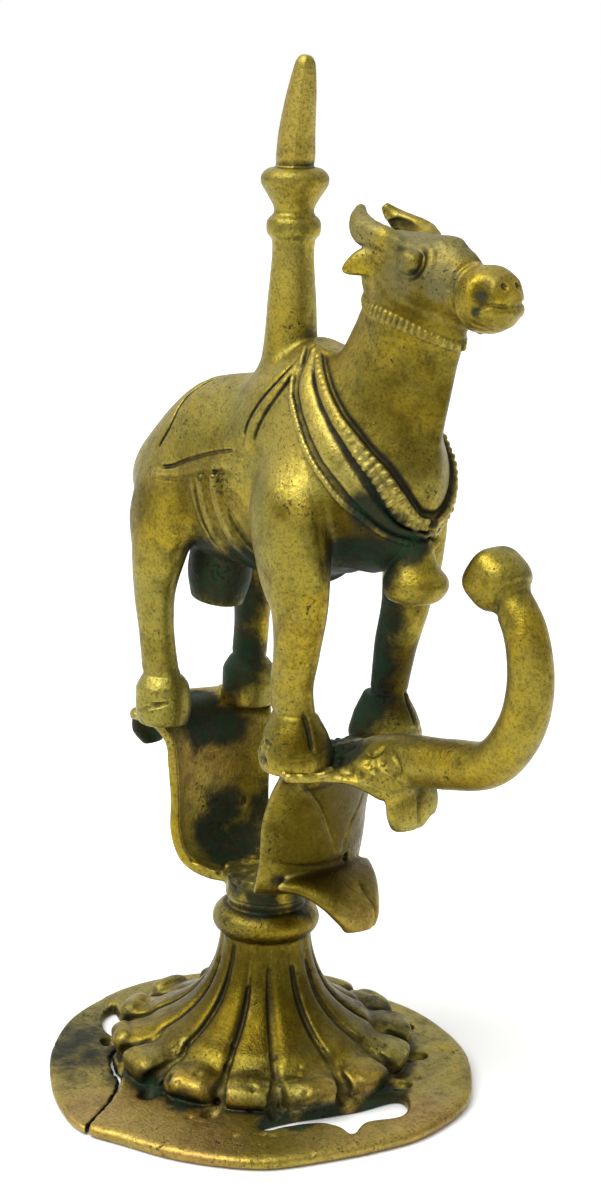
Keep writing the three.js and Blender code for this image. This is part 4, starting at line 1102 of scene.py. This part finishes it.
def model_face(wax, side):
    """One side of the face: muzzle, mouth, eye, brow, horn hollow and ear."""
    rib(wax, on_side(MUZZLE_RIM, side), radius=0.7, high=0.35, blend=0.5)
    groove(wax, on_side(MUZZLE_RIM, side) - [1.2, 0, 0], radius=0.5, deep=0.3)
    hollow = wax.settle([on_side(MUZZLE_HOLLOW, side)])[0]
    wax.dent(hollow + wax.slope([hollow], 1.0)[0] * 1.9, np.eye(3), [2.4, 2.2, 2.4], blend=1.8)
    rib(wax, on_side(LOWER_LIP_EDGE, side), radius=0.9, high=0.35, blend=0.6)
    chase_lines(wax, FACE_LINES, side)
    rib(wax, on_side(BROW, side), radius=1.0, high=0.3, blend=0.8)
    wax.dent(wax.settle([on_side(NOSTRIL, side)])[0], np.eye(3), [0.9, 0.7, 0.65], blend=0.3)
    eye = wax.settle([on_side(EYE, side)])[0]
    out = wax.slope([eye], 1.5)[0]
    rise = unit(np.array([0, 0, 1.0]) - out * out[2])
    ahead = unit(np.array([1.0, 0, 0]) - out * out[0])
    turn = np.radians(np.arange(75, -136, -10))[:, None]
    socket = wax.settle(eye + SOCKET_RADIUS * (ahead * np.cos(turn) + rise * np.sin(turn)))
    wax.raise_cord(socket - out * 0.5, rounded_ends(len(socket), 0.8, 0.3), blend=0.9)
    lid = wax.settle(eye + LID_RADIUS * (ahead * np.cos(turn) + rise * np.sin(turn)))
    wax.bead(eye - out * 0.45, np.eye(3), EYE_SIZES, blend=0.25, squareness=2.3)
    wax.chase(lid + out * 0.15, rounded_ends(len(lid), 0.45, 0.35), blend=0.3)
    pupil = wax.settle([eye + out])
    pock(wax, pupil[0] - 2, pupil[0] + 2, count=12, sizes=(0.4, 0.8), seed=73, deep=0.25)
    wax.dent(on_side(HORN_HOLLOW, side) * [1, -1, 1], np.eye(3), [4.2, 1.1, 1.2], blend=0.5)
    groove(wax, on_side(EAR_CREASE, side), radius=0.4, deep=0.25)


def chase_cloth(wax):
    """Saddle cloth, its breast strap and the girth."""
    for side in (1, -1):
        borders = [Laid(wax, on_side(line, side), 0.6) for line in STRAP_BORDERS]
        bands = []
        for line, high in BANDS:
            bands.append((Laid(wax, on_side(line, side), 0.6), high))
        hatching = Laid(wax, on_side(GIRTH_FRONT_BAND, side), 1.0)
        rib(wax, on_side(GIRTH_REAR, side), radius=0.5, high=0.35, blend=0.2)
        groove(wax, on_side(GIRTH_REAR, side) + [0.9, 0, 0], radius=0.3, deep=0.3)
        for laid, high in bands:
            band(wax, laid, high)
        hatching.notch(wax, height=0.95, radius=0.24, slant=0.9 * side)
        chase_lines(wax, CLOTH_LINES, side)
        for border in borders:
            wax.chase(border.lifted(-0.25), rounded_ends(len(border.path), 0.42), blend=0.2)
        chase_lines(wax, BODY_CREASES, side)


def hang_garlands(wax):
    """Three strings from the withers to the bell: beaded rope, plain sash, and a flat chain."""
    random = np.random.default_rng(29)
    for side in (1, -1):
        rope, sash, chain = (Laid(wax, on_side(string, side), 0.6) for string in (ROPE, SASH, CHAIN))
        beads = on_side(ROPE[3:], side)
        links = Laid(wax, on_side(CHAIN, side), 1.55)
        behind_sash = sash.beside(wax, -side, 0.15)
        behind_chain = chain.beside(wax, -side, 0.25)
        before_chain = chain.beside(wax, side, 0.5)
        bead_row(wax, beads, pitch=1.15, sizes=[0.5, 0.75, 0.6], high=0.95, squareness=2.6)
        band(wax, rope, high=0.7, thick=0.7, squareness=2.2)
        band(wax, sash, high=0.8, thick=1.0, squareness=2.4)
        band(wax, chain, high=1.25, thick=1.1, squareness=3.0)
        growing = np.linspace(0, 1, len(before_chain))
        wax.chase(before_chain, 0.2 + 0.3 * growing, blend=0.5)
        wax.chase(behind_chain, 0.16 + 0.3 * growing ** 2, blend=0.15)
        wax.chase(behind_sash, np.linspace(0.15, 0.26, len(behind_sash)), blend=0.12)
        links.notch(wax, height=1.3, radius=0.26)
        for k in range(int(0.55 * len(links.path)), len(links.path)):
            for row in (-0.5, 0.5):
                place = links.lifted(0.85)[k] + links.across[k] * row * links.width[k]
                size = np.array([0.62, 0.46 * links.width[k], 0.75]) * random.uniform(0.9, 1.15, 3)
                axes = (links.along[k], links.across[k], links.out[k])
                wax.bead(place, axes, size, blend=0.12, squareness=3.2)


def tool_hooves(wax):
    """Creased ankles, cloven hooves, and punched dots on the side of the right forehoof."""
    angle = np.radians(np.arange(0, 361, 15))
    for x, y, height, leg in ANKLES:
        level = np.full(len(angle), height)
        ankle = np.column_stack([x + leg * np.cos(angle), y + leg * np.sin(angle), level])
        groove(wax, ankle, radius=0.5, deep=0.3, blend=0.4)
    for side in (1, -1):
        chase_lines(wax, HOOF_LINES, side)
    random = np.random.default_rng(9)
    x, y, radius = HOOF_AT[0]
    for _ in range(110):
        turn = math.radians(random.uniform(196, 268))
        spot = [x + radius * math.cos(turn), y + radius * math.sin(turn), random.uniform(75.2, 80.6)]
        wax.dent(wax.settle([spot])[0], np.eye(3), np.full(3, random.uniform(0.32, 0.55)), blend=0.1)


def soften(wax):
    """Rounds every edge by about a grain, as running metal and polishing do."""
    for axis in range(3):
        rows = np.moveaxis(wax.depth, axis, 0)
        inner = 0.5 * rows[1:-1] + 0.25 * (rows[:-2] + rows[2:])
        rows[1:-1] = inner


def hand_marks(wax, size, amount, seed):
    """Slow swells of the hand-rolled wax: random steps of the size given, smoothed by cubic splines."""
    random = np.random.default_rng(seed)
    counts = [int(np.ceil(n * wax.grain / size)) + 4 for n in wax.depth.shape]
    marks = random.standard_normal(counts).astype(np.float32)
    for axis, n in enumerate(wax.depth.shape):
        place = np.arange(n) * wax.grain / size + 1
        index = place.astype(int)
        t = place - index
        weights = np.zeros((n, counts[axis]), np.float32)
        shares = ((1 - t) ** 3 / 6, (3 * t ** 3 - 6 * t ** 2 + 4) / 6,
                  (-3 * t ** 3 + 3 * t ** 2 + 3 * t + 1) / 6, t ** 3 / 6)
        for step, share in zip((-1, 0, 1, 2), shares):
            weights[np.arange(n), index + step] += share
        marks = np.moveaxis(np.tensordot(weights, marks, axes=(1, axis)), 0, axis)
    wax.depth += amount * marks


def spread(points, spots):
    """How strongly a list of soft-edged spots covers each point."""
    cover = np.zeros(len(points))
    for x, y, z, radius, strength in spots:
        away = np.linalg.norm(points - np.array([x, y, z]), axis=1) / radius
        near = np.clip(1.3 * (1 - away), 0, 1)
        cover = np.maximum(cover, strength * near * near * (3 - 2 * near))
    return cover


def cast(wax, name):
    """Turns the wax into brass: a closed mesh on the skin, with the marks that guide the patina, the painted
    shade and the painted highlights.
    """
    limit = 2.0
    axis = np.array(FOOT_AXIS)
    grid = openvdb.FloatGrid(limit)
    grid.copyFromArray(np.clip(wax.depth, -limit, limit), ijk=tuple(int(v) for v in wax.low))
    grid.transform = openvdb.createLinearTransform(voxelSize=wax.grain)
    points, triangles, quads = grid.convertToPolygons(0.0, 0.0)
    mesh = bpy.data.meshes.new(name)
    mesh.from_pydata(((points + axis) / PER_METRE).tolist(), [], triangles.tolist() + quads.tolist())
    piece = bpy.data.objects.new(name, mesh)
    bpy.context.collection.objects.link(piece)
    count = len(triangles) + 2 * len(quads)
    if count > MOST_TRIANGLES:
        thin = piece.modifiers.new("thin", "DECIMATE")
        thin.ratio = MOST_TRIANGLES / count
        view = bpy.context.evaluated_depsgraph_get()
        thinner = bpy.data.meshes.new_from_object(piece.evaluated_get(view))
        piece.modifiers.clear()
        piece.data = thinner
        thinner.name = name
        bpy.data.meshes.remove(mesh)
        mesh = thinner
    flat = np.empty(3 * len(mesh.vertices), np.float32)
    mesh.vertices.foreach_get("co", flat)
    skin_points = wax.settle(flat.reshape(-1, 3).astype(float) * PER_METRE - axis, 2)
    mesh.vertices.foreach_set("co", ((skin_points + axis) / PER_METRE).astype(np.float32).ravel())
    normals = wax.slope(skin_points)
    mesh.polygons.foreach_set("use_smooth", np.ones(len(mesh.polygons), bool))
    mesh.normals_split_custom_set_from_vertices(normals.tolist())
    marks = {
        "recess": 1 - wax.sample(skin_points + normals * LINE_REACH) / LINE_REACH,
        "ridge": 1 + wax.sample(skin_points - normals * LINE_REACH) / LINE_REACH,
        # How closed in the skin is. It guides dirt and painted shade in the hollows.
        "hollow": 1 - wax.sample(skin_points + normals * HOLLOW_REACH) / HOLLOW_REACH,
    }
    for mark, spots in STAINS.items():
        marks[mark] = spread(skin_points, spots)
    for mark, values in marks.items():
        layer = mesh.attributes.new(mark, "FLOAT", "POINT")
        layer.data.foreach_set("value", np.clip(values, 0, 1).astype(np.float32))
    mesh.update()
    return piece


def linear(code):
    """An sRGB hex colour as linear red, green, blue and alpha."""
    channels = [int(code[k:k + 2], 16) / 255 for k in (1, 3, 5)]
    return [c / 12.92 if c <= 0.04045 else ((c + 0.055) / 1.055) ** 2.4 for c in channels] + [1.0]


def node(tree, kind, settings=None, **links):
    """Adds a node. Settings go to its own options, and links to its sockets by name or as n and number."""
    made = tree.nodes.new(kind)
    for option, value in (settings or {}).items():
        setattr(made, option, value)
    for name, value in links.items():
        key = int(name[1:]) if name[0] == "n" and name[1:].isdigit() else name.replace("_", " ")
        socket = made.inputs[key]
        if isinstance(value, bpy.types.NodeSocket):
            tree.links.new(value, socket)
        else:
            socket.default_value = value
    return made


def aged_cast_brass():
    """Lost-wax brass, chased cold and hand-polished for years: warm olive gold, dark in every line, with
    painted shade in hollows and under the body and painted highlights on the lit side.
    """
    brass = bpy.data.materials.new("aged_cast_brass")
    brass.use_nodes = True
    tree = brass.node_tree
    shader = tree.nodes["Principled BSDF"]
    place = node(tree, "ShaderNodeTexCoord").outputs["Object"]
    guides = {}
    for mark in ("recess", "ridge", "hollow", *STAINS):
        guides[mark] = node(tree, "ShaderNodeAttribute", {"attribute_name": mark}).outputs["Fac"]
    for name, (size, detail, rough, twist) in PATTERNS.items():
        guides[name] = node(tree, "ShaderNodeTexNoise", Vector=place, Scale=PER_METRE / size, Detail=detail,
                            Roughness=rough, Distortion=twist).outputs["Fac"]
    metal = linear(ALLOY)
    dull = 0.0
    for name, (guide, ragged, sway, low, high, strength, colour, dulls) in COATS.items():
        led = node(tree, "ShaderNodeMath", {"operation": "MULTIPLY_ADD"}, n0=guides[ragged], n1=sway,
                   n2=guides[guide]).outputs[0]
        share = node(tree, "ShaderNodeMapRange", {"interpolation_type": "SMOOTHSTEP"}, Value=led,
                     From_Min=low, From_Max=high, To_Min=0.0, To_Max=strength).outputs["Result"]
        metal = node(tree, "ShaderNodeMix", {"data_type": "RGBA"}, n0=share, n6=metal,
                     n7=linear(colour)).outputs[2]
        guides[name] = share
        if dulls:
            dull = node(tree, "ShaderNodeMath", {"operation": "MAXIMUM"}, n0=share, n1=dull).outputs[0]
    tree.links.new(metal, shader.inputs["Base Color"])
    # A crust of dirt or verdigris, and the painted shade laid with it, shines less than metal and is rougher.
    shine = node(tree, "ShaderNodeMapRange", Value=dull, To_Min=1.0,
                 To_Max=CRUST_METALLIC).outputs["Result"]
    tree.links.new(shine, shader.inputs["Metallic"])
    polish = node(tree, "ShaderNodeMapRange", Value=guides["clouds"], From_Min=0.3, From_Max=0.7,
                  To_Min=POLISHED_ROUGHNESS, To_Max=DULL_ROUGHNESS).outputs["Result"]
    rough = node(tree, "ShaderNodeMath", {"operation": "MULTIPLY_ADD"}, n0=dull, n1=CRUST_ROUGHNESS,
                 n2=polish).outputs[0]
    tree.links.new(rough, shader.inputs["Roughness"])
    height = 0.0
    for name, rise in SKIN_GRAIN.items():
        height = node(tree, "ShaderNodeMath", {"operation": "MULTIPLY_ADD"}, n0=guides[name], n1=rise,
                      n2=height).outputs[0]
    bump = node(tree, "ShaderNodeBump", Height=height, Strength=1.0,
                Distance=1 / PER_METRE).outputs["Normal"]
    tree.links.new(bump, shader.inputs["Normal"])
    return brass


def white_paper():
    """Matt paper laid flat under the statue."""
    paper = bpy.data.materials.new("white_paper")
    paper.use_nodes = True
    shader = paper.node_tree.nodes["Principled BSDF"]
    shader.inputs["Base Color"].default_value = linear("#f4f4f2")
    shader.inputs["Roughness"].default_value = 0.9
    return paper


def light_tent():
    """White paper to the eye all round, bright on the side of the light and dim on the other."""
    world = bpy.data.worlds.new("light_tent")
    world.use_nodes = True
    tree = world.node_tree
    tree.nodes.clear()
    way = node(tree, "ShaderNodeTexCoord").outputs["Generated"]
    glow = TENT_DIM
    for aim, strength, start in TENT_SHEETS:
        facing = node(tree, "ShaderNodeVectorMath", {"operation": "DOT_PRODUCT"}, n0=way,
                      n1=aim).outputs["Value"]
        sheet = node(tree, "ShaderNodeMapRange", {"interpolation_type": "SMOOTHSTEP"}, Value=facing,
                     From_Min=start, From_Max=1.0, To_Min=0.0, To_Max=strength).outputs["Result"]
        glow = node(tree, "ShaderNodeMath", {"operation": "ADD"}, n0=glow, n1=sheet).outputs[0]
    tent = node(tree, "ShaderNodeBackground", Color=linear("#ffffff"), Strength=glow)
    paper = node(tree, "ShaderNodeBackground", Color=linear("#ffffff"), Strength=1.0)
    seen = node(tree, "ShaderNodeLightPath").outputs["Is Camera Ray"]
    both = node(tree, "ShaderNodeMixShader", n0=seen, n1=tent.outputs[0], n2=paper.outputs[0])
    node(tree, "ShaderNodeOutputWorld", Surface=both.outputs[0])
    return world


pieces = []
for name, model, seed in (("stand_casting", model_stand, 11), ("cage_casting", model_cage, 12),
                          ("bull_casting", model_bull, 13)):
    wax = model()
    hand_marks(wax, FINE_SWELL, FINE_RISE, seed)
    soften(wax)
    pieces.append(cast(wax, name))

brass = aged_cast_brass()
for piece in pieces:
    piece.data.materials.append(brass)
    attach(piece, "root")
    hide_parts("nandi_statue")

floor_mesh = bpy.data.meshes.new("floor")
corners = [(x * PAPER_HALF, y * PAPER_HALF, 0) for x, y in ((-1, -1), (1, -1), (1, 1), (-1, 1))]
floor_mesh.from_pydata(corners, [], [(0, 1, 2, 3)])
floor = bpy.data.objects.new("floor", floor_mesh)
bpy.context.collection.objects.link(floor)
floor_mesh.materials.append(white_paper())

# The standard view keeps white paper white.
bpy.context.scene.view_settings.view_transform = "Standard"
bpy.context.scene.world = light_tent()
sun = bpy.data.lights.new("soft_sun", "SUN")
sun.energy = SUN_STRENGTH
sun.angle = math.radians(SUN_SPREAD)
lamp = bpy.data.objects.new("soft_sun", sun)
bpy.context.collection.objects.link(lamp)
lamp.rotation_euler = Vector(LIGHT_FROM).to_track_quat("Z", "Y").to_euler()

turn, tilt, roll = (math.radians(v) for v in (CAMERA_TURN, CAMERA_TILT, CAMERA_ROLL))
back = Vector((math.sin(turn), -math.cos(turn), 0))
right = Vector((math.cos(turn), math.sin(turn), 0))
ahead = -back * math.cos(tilt) - Vector((0, 0, 1)) * math.sin(tilt)
above = right.cross(ahead)
level = right * math.cos(roll) + above * math.sin(roll)
upward = above * math.cos(roll) - right * math.sin(roll)
place = back * CAMERA_DISTANCE + Vector((0, 0, CAMERA_HEIGHT)) + right * CAMERA_ASIDE + Vector(FOOT_AXIS)
camera_data = bpy.data.cameras.new("camera")
camera_data.lens = LENS
camera_data.sensor_width = SENSOR_WIDTH
camera = bpy.data.objects.new("camera", camera_data)
bpy.context.collection.objects.link(camera)
axes = Matrix((level, upward, -ahead)).transposed()
camera.matrix_world = Matrix.Translation(place / PER_METRE) @ axes.to_4x4()
bpy.context.scene.camera = camera
